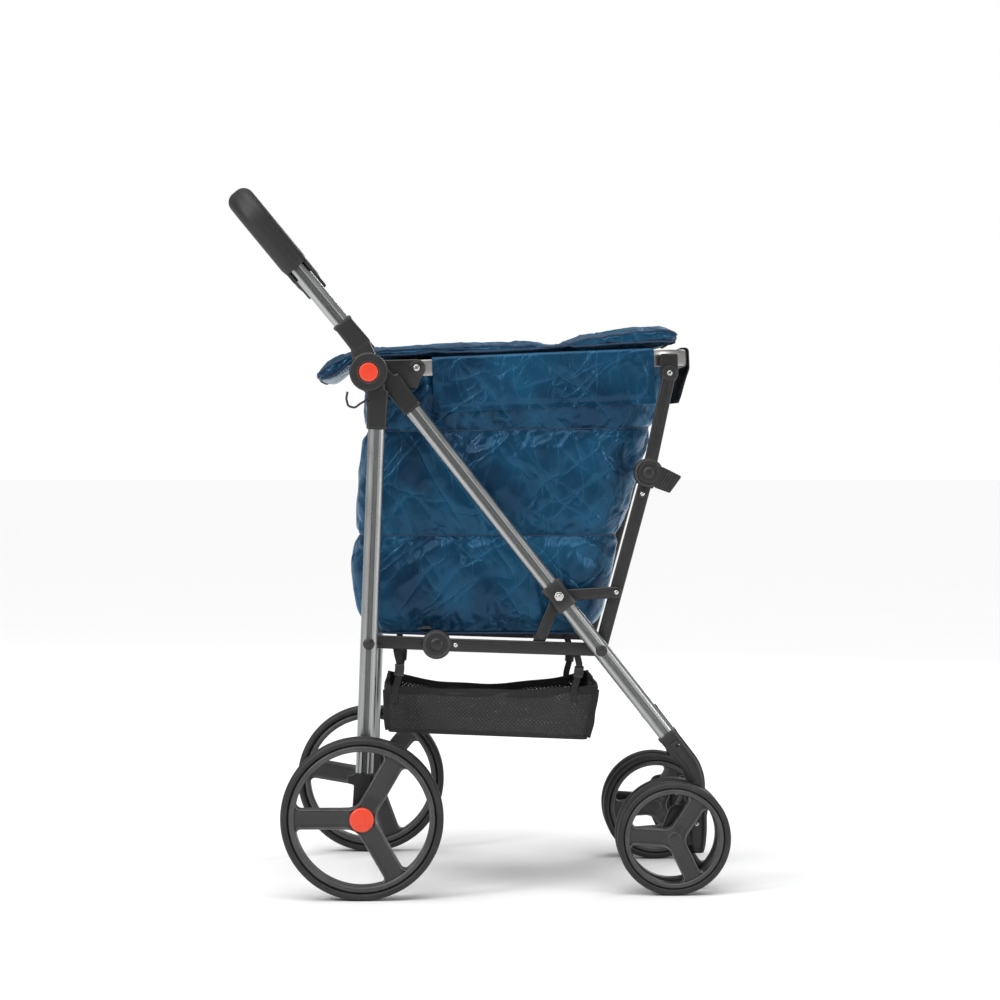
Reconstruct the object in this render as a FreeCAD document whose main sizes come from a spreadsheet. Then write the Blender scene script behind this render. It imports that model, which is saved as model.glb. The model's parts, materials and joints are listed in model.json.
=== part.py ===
import FreeCAD, Part
import math
import os

# Folding shopping trolley on four wheels.  Millimetres, +X towards the swivel casters, +Z up.
# Everything is laid out from the hub, the cross axis on which both legs and the handle hang,
# outwards in layers from the top ring, and the whole is centred over the floor at the end.

Vector = FreeCAD.Vector
SIDES = (("left", 1), ("right", -1))
doc = FreeCAD.newDocument("shopping_trolley")
sheet = doc.addObject("Spreadsheet::Sheet", "sheet")

DRIVING = {
    # the hub and the three arms that meet on it
    "hub_height": 710.5, "hub_pin_radius": 6.0, "running_gap": 0.05, "layer_gap": 1.0,
    "rest_gap": 0.3, "socket_reach": 76.5, "socket_eye_radius": 22.0, "disc_radius": 26.0,
    "front_lean": 38.0, "front_offset": 16.0, "rear_lean": 2.1, "rear_offset": 13.0,
    "handle_lean": 39.5, "handle_offset": 15.0,
    # the oval tube shared by the legs and the handle
    "tube_width": 23.5, "tube_depth": 16.0, "tube_wall": 2.0, "spigot_length": 25.0,
    "spigot_fit": 0.2, "socket_lip": 1.5,
    # clear gaps between the layers, from the top ring outwards
    "bar_depth": 8.0, "bar_gap": 1.5, "front_leg_gap": 2.0, "rear_leg_gap": 5.0,
    "handle_gap": 4.0, "wheel_gap": 15.0,
    # distances along the legs from the hub, and the feet below them
    "rear_foot_length": 56.93, "rail_pivot_reach": 367.5, "elbow_height": 216.5,
    "elbow_throw": 40.24, "leg_pivot_reach": 493.4, "sleeve_reach": 399.0,
    # handle
    "handle_length": 306.0, "handle_bend": 62.0, "grip_start": 170.0, "grip_wall": 7.2,
    "button_radius": 13.0, "button_travel": 4.0, "button_depth": 7.0,
    # rear wheels
    "rear_radius": 110.0, "rear_width": 32.0, "tyre_depth": 10.0,
    "rear_band": 9.0, "rear_hub_radius": 27.0, "rear_spoke": 30.0, "rear_spoke_depth": 20.0,
    "axle_radius": 6.0, "cap_radius": 16.5, "cap_depth": 6.0, "axle_boss_radius": 16.0,
    # swivel casters
    "caster_radius": 77.5, "caster_width": 24.0, "caster_gap": 26.0, "caster_tyre": 9.0,
    "caster_band": 7.0, "caster_hub_radius": 19.0, "caster_spoke": 22.0,
    "caster_spoke_depth": 16.0, "caster_trail": 32.3,
    "fork_top": 134.0, "fork_foot": 52.0, "fork_width": 30.0, "fork_depth": 20.0,
    "fork_eye": 18.0, "post_radius": 12.5, "post_top": 160.0, "caster_axle_radius": 5.0,
    "swivel_pin_radius": 6.0, "swivel_pin_length": 70.0,
    # folding bars, their pivots measured forwards and down from the hub
    "bar_width": 18.0, "fold_disc_radius": 20.0, "bar_pin_radius": 5.0, "dome_radius": 8.0,
    "dome_depth": 3.0, "rail_fold_forward": 91.2, "rail_fold_drop": 371.5,
    "link_fold_forward": 381.7, "link_fold_drop": 136.4,
    "link_top_forward": 410.4, "link_top_drop": -0.3,
    "link_stay_share": 0.325, "rail_stay_share": 0.39, "stay_width": 16.0,
    "sleeve_length": 40.0, "sleeve_wall": 3.0,
    "lever_depth": 3.5, "lever_length": 34.0, "lever_width": 24.0,
    # top ring
    "ring_pivot_forward": 63.9, "ring_pivot_drop": -7.2, "ring_reach": 441.0,
    "ring_half_width": 145.5, "ring_thick": 4.5, "ring_height": 23.0, "ring_tilt": 2.4,
    "ring_corner": 62.0, "ring_tail": 14.0,
    # bag, its board, lid, flaps and the basket below
    "bag_wall": 5.0, "bag_drop": 357.5, "bag_floor_start": 12.0,
    "bag_floor_front": 300.0, "bag_back_top": 8.0, "bag_bulge": 22.5,
    "bag_corner_gap": 3.0, "lid_tail": 138.0,
    "board_thick": 4.0, "board_inset": 12.0, "lid_margin": 2.5, "lid_lift": 0.7,
    "flap_thick": 3.0, "flap_start": 86.0, "flap_length": 296.0, "flap_drop": 62.0,
    "front_flap_half_width": 95.0, "basket_half_width": 135.0, "basket_start": 20.0,
    "basket_length": 293.0, "basket_drop": 434.5, "basket_depth": 66.0, "basket_wall": 2.0,
    "strap_width": 20.0, "strap_thick": 2.0,
    # cross tubes and hook
    "cross_tube_radius": 8.0, "rear_cross_reach": 391.0, "front_cross_reach": 581.0,
    "hook_wire": 3.0,
}
for row, (alias, value) in enumerate(DRIVING.items(), start=1):
    sheet.set(f"A{row}", alias)
    sheet.set(f"B{row}", str(value))
    sheet.setAlias(f"B{row}", alias)
doc.recompute()


class Sizes:
    """Reads the driving dimensions back from the sheet by name."""

    def __getattr__(self, alias):
        return float(getattr(sheet, alias))


size = Sizes()


# ---------------------------------------------------------------- outlines

def polygon(points):
    """Straight edges through the points, closed."""
    ring = [Vector(x, y, 0) for x, y in points]
    return [Part.LineSegment(a, b) for a, b in zip(ring, ring[1:] + ring[:1])]


def circle(x, y, radius):
    return [Part.Circle(Vector(x, y, 0), Vector(0, 0, 1), radius)]


def rectangle(x, y, across, up):
    """Rectangle about its middle."""
    half, rise = across / 2, up / 2
    return polygon([(x - half, y - rise), (x + half, y - rise),
                    (x + half, y + rise), (x - half, y + rise)])


def arc(middle, radius, start, end):
    """Counter-clockwise arc between two angles in degrees."""
    ring = Part.Circle(Vector(*middle, 0), Vector(0, 0, 1), radius)
    return Part.ArcOfCircle(ring, math.radians(start), math.radians(end))


def stadium(start, end, width):
    """Bar with round ends about the two given points."""
    dx, dy = end[0] - start[0], end[1] - start[1]
    length = math.hypot(dx, dy)
    nx, ny = -dy / length * width / 2, dx / length * width / 2
    turn = math.degrees(math.atan2(dy, dx))
    return [
        Part.LineSegment(Vector(start[0] - nx, start[1] - ny, 0),
                         Vector(end[0] - nx, end[1] - ny, 0)),
        arc(end, width / 2, turn - 90, turn + 90),
        Part.LineSegment(Vector(end[0] + nx, end[1] + ny, 0),
                         Vector(start[0] + nx, start[1] + ny, 0)),
        arc(start, width / 2, turn + 90, turn + 270),
    ]


def oval(x, y, width, depth):
    """Flat oval tube section: long way along the first axis."""
    reach = (width - depth) / 2
    return stadium((x - reach, y), (x + reach, y), depth)


# ---------------------------------------------------------------- bodies

class Piece:
    """A PartDesign body: sketches on its own planes, padded, cut or turned."""

    def __init__(self, label):
        self.body = doc.addObject("PartDesign::Body", label)
        self.body.Label = label
        self.count = 0

    def _sketch(self, plane, outlines, lift=0.0):
        self.count += 1
        sketch = self.body.newObject("Sketcher::SketchObject", f"{self.body.Name}_s{self.count}")
        planes = {f.Role: f for f in self.body.Origin.OriginFeatures}
        sketch.AttachmentSupport = (planes[plane], [""])
        sketch.MapMode = "FlatFace"
        sketch.AttachmentOffset = FreeCAD.Placement(Vector(0, 0, lift), FreeCAD.Rotation())
        for outline in outlines:
            sketch.addGeometry(outline, False)
        return sketch

    def _feature(self, kind, sketch):
        feature = self.body.newObject(f"PartDesign::{kind}", f"{self.body.Name}_f{self.count}")
        feature.Profile = sketch
        return feature

    def pad(self, length, *outlines, plane="XZ_Plane", lift=0.0, middle=True, back=False):
        """Raise the outlines by an expression of the sheet's sizes."""
        feature = self._feature("Pad", self._sketch(plane, outlines, lift))
        feature.setExpression("Length", length)
        feature.Midplane = middle
        feature.Reversed = back
        return self

    def cut(self, length, *outlines, plane="XZ_Plane", lift=0.0, middle=True, back=False):
        """Cut the outlines, and see that something went."""
        doc.recompute()
        before = self.body.Shape.Volume
        feature = self._feature("Pocket", self._sketch(plane, outlines, lift))
        feature.setExpression("Length", length)
        feature.Midplane = middle
        feature.Reversed = back
        doc.recompute()
        if not self.body.Shape.Volume < before - 1e-3:
            raise RuntimeError(f"a cut in {self.body.Label} removed nothing")
        return self

    def turn(self, *outlines):
        """Turn outlines of the XY plane a full circle about Y."""
        sketch = self._sketch("XY_Plane", outlines)
        feature = self._feature("Revolution", sketch)
        feature.ReferenceAxis = (sketch, ["V_Axis"])
        feature.Angle = 360.0
        return self

    def sweep(self, section, section_plane, lift, path, path_plane):
        """Carry a section along an open path."""
        profile = self._sketch(section_plane, section, lift)
        spine = self._sketch(path_plane, [path])
        feature = self._feature("AdditivePipe", profile)
        feature.Spine = spine
        return self

    def at(self, x=0.0, y=0.0, z=0.0, lean=0.0):
        """Place the body, turned about Y by the lean in degrees."""
        turn = FreeCAD.Rotation(Vector(0, 1, 0), lean)
        self.body.Placement = FreeCAD.Placement(Vector(x, y, z), turn)
        return self.body


def group(label, bodies):
    """Separate solids that share one node."""
    bundle = doc.addObject("Part::Compound", label)
    bundle.Label = label
    bundle.Links = bodies
    nodes.append(bundle)
    return bundle


nodes = []


def keep(body):
    nodes.append(body)
    return body


# ---------------------------------------------------------------- frames along the legs

class Arm:
    """A straight arm from the hub: its tube runs beside the hub, at an offset."""

    def __init__(self, bearing, offset):
        self.bearing = bearing          # turn about Y that takes +Z to the arm's direction
        self.offset = offset            # hub's place across the arm, in the arm's own frame
        angle = math.radians(bearing)
        self.along = (math.sin(angle), math.cos(angle))
        self.across = (math.cos(angle), -math.sin(angle))

    def point(self, reach, aside=0.0):
        """World X and Z of a point at a reach along the arm."""
        shift = aside - self.offset
        return (reach * self.along[0] + shift * self.across[0],
                size.hub_height + reach * self.along[1] + shift * self.across[1])

    def place(self, piece, y):
        x, z = self.point(0.0)
        return piece.at(x, y, z, self.bearing)


front_arm = Arm(180.0 - size.front_lean, size.front_offset)
rear_arm = Arm(180.0 + size.rear_lean, size.rear_offset)
handle_arm = Arm(-size.handle_lean, -size.handle_offset)

# ---------------------------------------------------------------- layers, outwards from the ring

inner_bar_layer = size.ring_half_width + size.bar_gap + size.bar_depth / 2
outer_bar_layer = inner_bar_layer + size.bar_depth + size.layer_gap
front_layer = outer_bar_layer + (size.bar_depth + size.tube_depth) / 2 + size.front_leg_gap
rear_layer = front_layer + size.tube_depth + size.rear_leg_gap
handle_layer = rear_layer + size.tube_depth + size.handle_gap
rear_wheel_layer = rear_layer + (size.tube_depth + size.rear_width) / 2 + size.wheel_gap

pin_bore = size.hub_pin_radius + size.running_gap
bar_bore = size.bar_pin_radius + size.running_gap
spigot_width = size.tube_width - 2 * (size.tube_wall + size.spigot_fit)
spigot_depth = size.tube_depth - 2 * (size.tube_wall + size.spigot_fit)


def tube(label, arm, start, end, y, holes=()):
    """Hollow oval tube, with cross bores for the pins that pass through it."""
    piece = Piece(label)
    inner = size.tube_width - 2 * size.tube_wall, size.tube_depth - 2 * size.tube_wall
    piece.pad(f"{end - start}", oval(0, 0, size.tube_width, size.tube_depth),
              oval(0, 0, *inner), plane="XY_Plane", lift=start, middle=False)
    for reach in holes:
        piece.cut("2 * sheet.tube_depth", circle(0, reach, bar_bore))
    return keep(arm.place(piece, y))


def hub_socket(label, arm, y):
    """Moulded arm root: an eye on the hub pin, and a spigot up the tube."""
    piece = Piece(label)
    half = size.tube_width / 2 + size.socket_lip
    eye = size.socket_eye_radius
    toward = math.copysign(1.0, arm.offset)
    shoulder = 0.45 * size.socket_reach
    piece.pad("sheet.tube_depth", polygon([
        (-half, size.socket_reach), (half, size.socket_reach), (half, shoulder),
        (arm.offset + eye * (0.9 if toward > 0 else 0.8), 0.25 * eye),
        (arm.offset - eye * (0.9 if toward < 0 else 0.8), 0.25 * eye), (-half, shoulder)]))
    piece.pad("sheet.tube_depth", circle(arm.offset, 0, eye))
    piece.pad("sheet.spigot_length", oval(0, 0, spigot_width, spigot_depth),
              plane="XY_Plane", lift=size.socket_reach, middle=False)
    piece.cut("2 * sheet.tube_depth", circle(arm.offset, 0, pin_bore))
    return keep(arm.place(piece, y))


# ---------------------------------------------------------------- derived places

rear_axle_reach = ((size.hub_height - size.rear_radius - rear_arm.offset * rear_arm.across[1])
                   / -rear_arm.along[1])
rear_axle = rear_arm.point(rear_axle_reach)
rear_tube_end = rear_axle_reach - size.rear_foot_length
front_tube_end = (front_arm.point(0.0)[1] - size.elbow_height) / -front_arm.along[1]
swivel_reach = front_arm.point(front_tube_end)[0] + size.elbow_throw
rail_pivot = rear_arm.point(size.rail_pivot_reach)
leg_pivot = front_arm.point(size.leg_pivot_reach)
sleeve_point = front_arm.point(size.sleeve_reach)
rail_fold = (size.rail_fold_forward, size.hub_height - size.rail_fold_drop)
link_fold = (size.link_fold_forward, size.hub_height - size.link_fold_drop)
link_top = (size.link_top_forward, size.hub_height - size.link_top_drop)
ring_pivot = (size.ring_pivot_forward, size.hub_height - size.ring_pivot_drop)
caster_axle = (swivel_reach - size.caster_trail, size.caster_radius)
bag_floor = size.hub_height - size.bag_drop


def between(start, end, share):
    """Point a share of the way from one pivot to the next."""
    return (start[0] + share * (end[0] - start[0]), start[1] + share * (end[1] - start[1]))


link_stay_end = between(leg_pivot, link_fold, size.link_stay_share)
rail_stay_end = between(leg_pivot, rail_fold, size.rail_stay_share)


# ---------------------------------------------------------------- rear frame

def rear_foot(label, side):
    """Foot below the rear tube, with a step behind it and the boss that carries the axle."""
    piece = Piece(label)
    half = size.tube_width / 2 + size.socket_lip
    end, axle, boss = rear_tube_end, rear_axle_reach, size.axle_boss_radius
    piece.pad("sheet.tube_depth", polygon([
        (-half, end), (half, end), (half + 9, end + 4), (half + 9, end + 14), (half, end + 16),
        (boss, axle), (-boss, axle), (-half, end + 16)]))
    piece.pad("sheet.tube_depth", circle(0, axle, boss))
    piece.pad(f"{rear_wheel_layer - rear_layer} - sheet.rear_width / 2 - sheet.rest_gap",
              circle(0, axle, boss - 3), middle=False, back=side > 0)
    piece.pad("sheet.spigot_length", oval(0, 0, spigot_width, spigot_depth),
              plane="XY_Plane", lift=end, middle=False, back=True)
    piece.cut("6 * sheet.tube_depth", circle(0, axle, size.axle_radius + size.running_gap))
    return rear_arm.place(piece, side * rear_layer)


def cross_pin(label, radius, start, end, place, side, dome=0.0):
    """Pin across the layers on one side, from one distance off the centre plane to another.

    A dome, if any, caps its outer end.
    """
    piece = Piece(label)
    piece.pad(f"{end - start}", circle(0, 0, radius), plane="XZ_Plane",
              lift=-side * start, middle=False, back=side > 0)
    if dome:
        piece.pad("sheet.dome_depth", circle(0, 0, dome), plane="XZ_Plane",
                  lift=-side * end, middle=False, back=side > 0)
    return piece.at(place[0], 0.0, place[1])


half_tube = size.tube_depth / 2
half_bar = size.bar_depth / 2
rear_out = rear_layer + half_tube
front_out = front_layer + half_tube
bars_in = inner_bar_layer - half_bar
bars_out = outer_bar_layer + half_bar

for name, side in SIDES:
    tube(f"rear_leg_{name}", rear_arm, size.socket_reach, rear_tube_end, side * rear_layer,
         holes=[size.rail_pivot_reach])
    hub_socket(f"rear_socket_{name}", rear_arm, side * rear_layer)

group("rear_feet", [rear_foot(f"rear_foot_{name}", side) for name, side in SIDES])

axle = Piece("rear_axle")
axle.pad(f"{2 * rear_wheel_layer} + sheet.rear_width - 2 * sheet.layer_gap",
         circle(0, 0, size.axle_radius))
keep(axle.at(rear_axle[0], 0.0, rear_axle[1]))

cross = Piece("rear_cross_tube")
cross.pad(f"{2 * rear_layer} - sheet.tube_depth",
          circle(0, 0, size.cross_tube_radius),
          circle(0, 0, size.cross_tube_radius - size.tube_wall))
cross_place = rear_arm.point(size.rear_cross_reach)
keep(cross.at(cross_place[0], 0.0, cross_place[1]))


def rail_pin(name, side):
    """Rail pivot on the rear leg: spacer, pin through the rail and the leg, and a domed cap."""
    piece = Piece(f"rail_pin_{name}")
    inner_face = inner_bar_layer + half_bar + size.layer_gap
    piece.pad(f"{rear_out - bars_in}", circle(0, 0, size.bar_pin_radius),
              lift=-side * bars_in, middle=False, back=side > 0)
    piece.pad(f"{rear_layer - half_tube - inner_face}", circle(0, 0, size.dome_radius),
              lift=-side * inner_face, middle=False, back=side > 0)
    piece.pad("sheet.dome_depth", circle(0, 0, size.dome_radius),
              lift=-side * rear_out, middle=False, back=side > 0)
    return piece.at(rail_pivot[0], 0.0, rail_pivot[1])


group("frame_pins", [
    cross_pin(f"hub_pin_{name}", size.hub_pin_radius, bars_out - size.bar_depth,
              handle_layer + size.layer_gap, (0.0, size.hub_height), side)
    for name, side in SIDES] + [rail_pin(name, side) for name, side in SIDES])


def ring_bracket(name, side):
    """Plate on the hub pin that carries the top ring at a stub."""
    piece = Piece(f"ring_bracket_{name}")
    px, pz = ring_pivot[0], ring_pivot[1] - size.hub_height
    eye = size.socket_eye_radius - 4
    piece.pad("sheet.bar_depth", polygon([
        (-eye * 0.2, eye * 0.95), (px, pz + 12), (px + 12, pz), (px + 2, pz - 30),
        (eye * 0.4, -eye * 0.9)]))
    piece.pad("sheet.bar_depth", circle(0, 0, eye))
    piece.pad("sheet.bar_depth", circle(px, pz, 12))
    piece.cut("4 * sheet.bar_depth", circle(0, 0, pin_bore))
    stub = outer_bar_layer - size.ring_half_width - size.rest_gap
    piece.pad(f"{stub}", circle(px, pz, 9), middle=False, back=side < 0)
    piece.pad(f"{stub + size.ring_thick + size.rest_gap}", circle(px, pz, size.bar_pin_radius),
              middle=False, back=side < 0)
    return piece.at(0.0, side * outer_bar_layer, size.hub_height)


group("ring_brackets", [ring_bracket(name, side) for name, side in SIDES])

# ---------------------------------------------------------------- front frame


def caster_elbow(label, side):
    """Elbow from the slanting tube to the upright swivel post, with its pin."""
    piece = Piece(label)
    half = size.tube_width / 2 + size.socket_lip
    lower = front_arm.point(front_tube_end, half)
    upper = front_arm.point(front_tube_end, -half)
    post, width = swivel_reach, size.post_radius + 1.2
    piece.pad("sheet.tube_depth", polygon([
        lower, upper, (post - 7, upper[1] - 17), (post + 8, size.post_top + 22),
        (post + width, size.post_top + 3), (post + width, size.post_top - 2),
        (post - width, size.post_top - 2), (post - width - 4, size.post_top + 8)]))
    piece.pad(f"{size.post_top - size.fork_top - size.layer_gap}",
              circle(post, 0, size.post_radius), plane="XY_Plane",
              lift=size.fork_top + size.layer_gap, middle=False)
    piece.pad("sheet.swivel_pin_length", circle(post, 0, size.swivel_pin_radius),
              plane="XY_Plane", lift=size.fork_top + 2 * size.layer_gap, middle=False, back=True)
    return piece.at(0.0, side * front_layer, 0.0)


def caster_spigot(label, side):
    """Plug that joins the elbow to the tube."""
    piece = Piece(label)
    piece.pad("sheet.spigot_length", oval(0, 0, spigot_width, spigot_depth),
              plane="XY_Plane", lift=front_tube_end, middle=False, back=True)
    return front_arm.place(piece, side * front_layer)


for name, side in SIDES:
    tube(f"front_leg_{name}", front_arm, size.socket_reach, front_tube_end,
         side * front_layer, holes=[size.leg_pivot_reach])
    hub_socket(f"front_socket_{name}", front_arm, side * front_layer)
    socket = doc.addObject("Part::MultiFuse", f"caster_socket_{name}")
    socket.Shapes = [caster_elbow(f"caster_elbow_{name}", side),
                     caster_spigot(f"caster_spigot_{name}", side)]
    keep(socket)

cross = Piece("front_cross_tube")
cross.pad(f"{2 * front_layer} - sheet.tube_depth",
          circle(0, 0, size.cross_tube_radius),
          circle(0, 0, size.cross_tube_radius - size.tube_wall))
cross_place = front_arm.point(size.front_cross_reach)
keep(cross.at(cross_place[0], 0.0, cross_place[1]))

group("leg_pins", [
    cross_pin(f"leg_pin_{name}", size.bar_pin_radius, bars_in, front_out, leg_pivot, side,
              dome=size.dome_radius) for name, side in SIDES])

# ---------------------------------------------------------------- folding bars


def bar(label, start, end, layer, bored=(), discs=(), bosses=()):
    """Flat bar between two pivots, with bores, fold discs and domed caps on its outer face."""
    piece = Piece(label)
    base = start
    local = [(p[0] - base[0], p[1] - base[1]) for p in (start, end)]
    piece.pad("sheet.bar_depth", stadium(local[0], local[1], size.bar_width))
    for x, z in discs:
        piece.pad("sheet.bar_depth", circle(x - base[0], z - base[1], size.fold_disc_radius))
    side = 1 if layer > 0 else -1
    for (x, z), radius in bosses:
        piece.pad("sheet.dome_depth", circle(x - base[0], z - base[1], radius),
                  lift=-side * half_bar, middle=False, back=side > 0)
    for (x, z), radius in bored:
        piece.cut("4 * sheet.bar_depth", circle(x - base[0], z - base[1], radius))
    return piece.at(base[0], layer, base[1])


def stay(label, start, end, layer):
    """Short stay bored for the sleeve's bolt at its first end."""
    piece = Piece(label)
    far = (end[0] - start[0], end[1] - start[1])
    piece.pad("sheet.bar_depth", stadium((0, 0), far, size.stay_width))
    piece.cut("4 * sheet.bar_depth", circle(0, 0, bar_bore))
    return piece.at(start[0], layer, start[1])


def sleeve(name, side):
    """Sleeve that slides on the front tube, with the bolt that carries the stays."""
    piece = Piece(f"sleeve_{name}")
    fit = 2 * size.rest_gap
    outer = size.tube_width + fit + 2 * size.sleeve_wall, size.tube_depth + fit + 2 * 1.6
    start = size.sleeve_reach - size.sleeve_length / 2
    piece.pad("sheet.sleeve_length", oval(0, 0, *outer),
              oval(0, 0, size.tube_width + fit, size.tube_depth + fit),
              plane="XY_Plane", lift=start, middle=False)
    face = outer[1] / 2
    inward = front_layer - bars_in
    piece.pad(f"{size.dome_depth}", circle(0, size.sleeve_reach, size.dome_radius - 1),
              lift=-side * (face - 0.6), middle=False, back=side > 0)
    piece.pad(f"{inward - face + 0.6}", circle(0, size.sleeve_reach, size.bar_pin_radius),
              lift=side * (face - 0.6), middle=False, back=side < 0)
    return front_arm.place(piece, side * front_layer)


def lever(name, side):
    """Release tab on the fold disc of the upright."""
    piece = Piece(f"lever_{name}")
    piece.pad("sheet.lever_depth", circle(0, 0, size.fold_disc_radius - 5))
    tip, half = size.lever_length, size.lever_width / 2
    piece.pad("sheet.lever_depth", polygon([(0, half), (tip, half - 7), (tip, -half - 5),
                                            (tip - 22, -half - 7), (0, -half)]))
    piece.cut("4 * sheet.lever_depth", circle(0, 0, bar_bore))
    layer = bars_out + size.rest_gap + size.lever_depth / 2
    return piece.at(link_fold[0], side * layer, link_fold[1])


inner_bars, outer_bars = inner_bar_layer, outer_bar_layer
group("rear_rails", [bar(f"rear_rail_{name}", rail_pivot, rail_fold, side * inner_bars,
                         bored=[(rail_pivot, bar_bore)], discs=[rail_fold])
                     for name, side in SIDES])
group("front_rails", [bar(f"front_rail_{name}", leg_pivot, rail_fold, side * outer_bars,
                          bored=[(leg_pivot, bar_bore)], discs=[rail_fold],
                          bosses=[(rail_fold, size.dome_radius + 1.5)])
                      for name, side in SIDES])
group("lower_links", [bar(f"lower_link_{name}", leg_pivot, link_fold, side * inner_bars,
                          bored=[(leg_pivot, bar_bore), (link_fold, bar_bore)],
                          discs=[link_fold]) for name, side in SIDES])
group("upper_links", [bar(f"upper_link_{name}", link_fold, link_top, side * outer_bars,
                          bored=[(link_fold, bar_bore)], discs=[link_fold],
                          bosses=[(link_top, size.dome_radius + 1.5)])
                      for name, side in SIDES])

lever_out = bars_out + size.rest_gap + size.lever_depth
group("link_pins", [
    cross_pin(f"link_pin_{name}", size.bar_pin_radius, bars_in, lever_out + size.rest_gap,
              link_fold, side, dome=size.dome_radius) for name, side in SIDES])
group("fold_levers", [lever(name, side) for name, side in SIDES])
group("sliding_sleeves", [sleeve(name, side) for name, side in SIDES])
group("upper_stays", [stay(f"upper_stay_{name}", sleeve_point, link_stay_end,
                           side * outer_bar_layer) for name, side in SIDES])
group("lower_stays", [stay(f"lower_stay_{name}", sleeve_point, rail_stay_end,
                           side * inner_bar_layer) for name, side in SIDES])

# ---------------------------------------------------------------- top ring and its lugs


def ring_outline(inset):
    """Plan of the ring, from its pivot: a U with round front corners."""
    half = size.ring_half_width - inset
    front = size.ring_reach - ring_pivot[0] - inset
    corner = size.ring_corner - inset
    tail, bend = -size.ring_tail, front - corner
    return half, front, corner, tail, bend


def ring_sketch():
    """Closed band between the outer and the inner U."""
    half, front, corner, tail, bend = ring_outline(0.0)
    inner, inside, small, _, _ = ring_outline(size.ring_thick)

    def line(a, b):
        return Part.LineSegment(Vector(*a, 0), Vector(*b, 0))

    return [
        line((tail, -half), (bend, -half)), arc((bend, -half + corner), corner, -90, 0),
        line((front, -half + corner), (front, half - corner)),
        arc((bend, half - corner), corner, 0, 90), line((bend, half), (tail, half)),
        line((tail, half), (tail, inner)), line((tail, inner), (bend, inner)),
        arc((bend, half - corner), small, 0, 90),
        line((inside, half - corner), (inside, -half + corner)),
        arc((bend, -half + corner), small, -90, 0),
        line((bend, -inner), (tail, -inner)), line((tail, -inner), (tail, -half)),
    ]


ring = Piece("top_ring")
ring.pad("sheet.ring_height", ring_sketch(), plane="XY_Plane")
ring.cut("3 * sheet.ring_half_width", circle(0, 0, bar_bore))
keep(ring.at(ring_pivot[0], 0.0, ring_pivot[1], -size.ring_tilt))


def ring_height_at(x, lift=0.0):
    """Height of a line parallel to the ring's middle plane, above it by the lift."""
    slope = math.radians(size.ring_tilt)
    return ring_pivot[1] + (x - ring_pivot[0]) * math.tan(slope) + lift / math.cos(slope)


def ring_lug(name, side):
    """Lug below the front of the ring, where the upright's top link meets it."""
    piece = Piece(f"ring_lug_{name}")
    depth = outer_bar_layer - half_bar - size.rest_gap - size.ring_half_width - 0.1
    rise = ring_height_at(link_top[0]) - link_top[1]
    piece.pad(f"{depth}", polygon([(-13, 0), (13, 0), (13, rise + 8), (-13, rise + 8)]),
              middle=False, back=side > 0)
    piece.pad(f"{depth}", circle(0, 0, 13), middle=False, back=side > 0)
    return piece.at(link_top[0], side * (size.ring_half_width + 0.1), link_top[1])


group("ring_lugs", [ring_lug(name, side) for name, side in SIDES])

# ---------------------------------------------------------------- handle


def handle_path():
    """Run of the handle's middle line: up one arm, across, and down the other."""
    half, bend = handle_layer, size.handle_bend
    top = size.handle_length - size.grip_wall - size.tube_depth / 2
    return half, bend, top


def handle_run(start):
    half, bend, top = handle_path()
    knee = top - bend
    return [
        Part.LineSegment(Vector(-half, start, 0), Vector(-half, knee, 0)),
        arc((-half + bend, knee), bend, 90, 180),
        Part.LineSegment(Vector(-half + bend, top, 0), Vector(half - bend, top, 0)),
        arc((half - bend, knee), bend, 0, 90),
        Part.LineSegment(Vector(half, knee, 0), Vector(half, start, 0)),
    ]


handle = Piece("handle_tube")
handle.sweep([oval(0, -handle_layer, size.tube_width, size.tube_depth),
              oval(0, -handle_layer, size.tube_width - 2 * size.tube_wall,
                   size.tube_depth - 2 * size.tube_wall)],
             "XY_Plane", size.socket_reach, handle_run(size.socket_reach), "YZ_Plane")
keep(handle_arm.place(handle, 0.0))

grip = Piece("handle_grip")
grip.sweep([oval(0, -handle_layer, size.tube_width + 2 * size.grip_wall,
                 size.tube_depth + 2 * size.grip_wall),
            oval(0, -handle_layer, size.tube_width + 0.2, size.tube_depth + 0.2)],
           "XY_Plane", size.grip_start, handle_run(size.grip_start), "YZ_Plane")
keep(handle_arm.place(grip, 0.0))


def handle_socket(label, side):
    """Handle's root: a disc on the hub, cupped on its outer face for the button."""
    piece = Piece(label)
    half = size.tube_width / 2 + size.socket_lip
    hub = handle_arm.offset
    shoulder = 0.45 * size.socket_reach
    piece.pad("sheet.tube_depth", polygon([
        (-half, size.socket_reach), (half, size.socket_reach), (half, shoulder),
        (hub + 0.9 * size.disc_radius, 0.3 * size.disc_radius),
        (hub - 0.8 * size.disc_radius, 0.3 * size.disc_radius), (-half, shoulder)]))
    piece.pad("sheet.tube_depth / 2 + 2 * sheet.layer_gap", circle(hub, 0, size.disc_radius),
              middle=False, back=side > 0)
    piece.pad("sheet.tube_depth", circle(hub, 0, size.disc_radius))
    piece.pad("sheet.spigot_length", oval(0, 0, spigot_width, spigot_depth),
              plane="XY_Plane", lift=size.socket_reach, middle=False)
    piece.cut("sheet.tube_depth + 2 * sheet.layer_gap", circle(hub, 0, pin_bore),
              lift=side * size.tube_depth, middle=False, back=side < 0)
    face = half_tube + 2 * size.layer_gap
    piece.cut("sheet.button_depth", circle(hub, 0, size.button_radius + size.rest_gap),
              lift=-side * face, middle=False, back=side > 0)
    return keep(handle_arm.place(piece, side * handle_layer))


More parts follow.
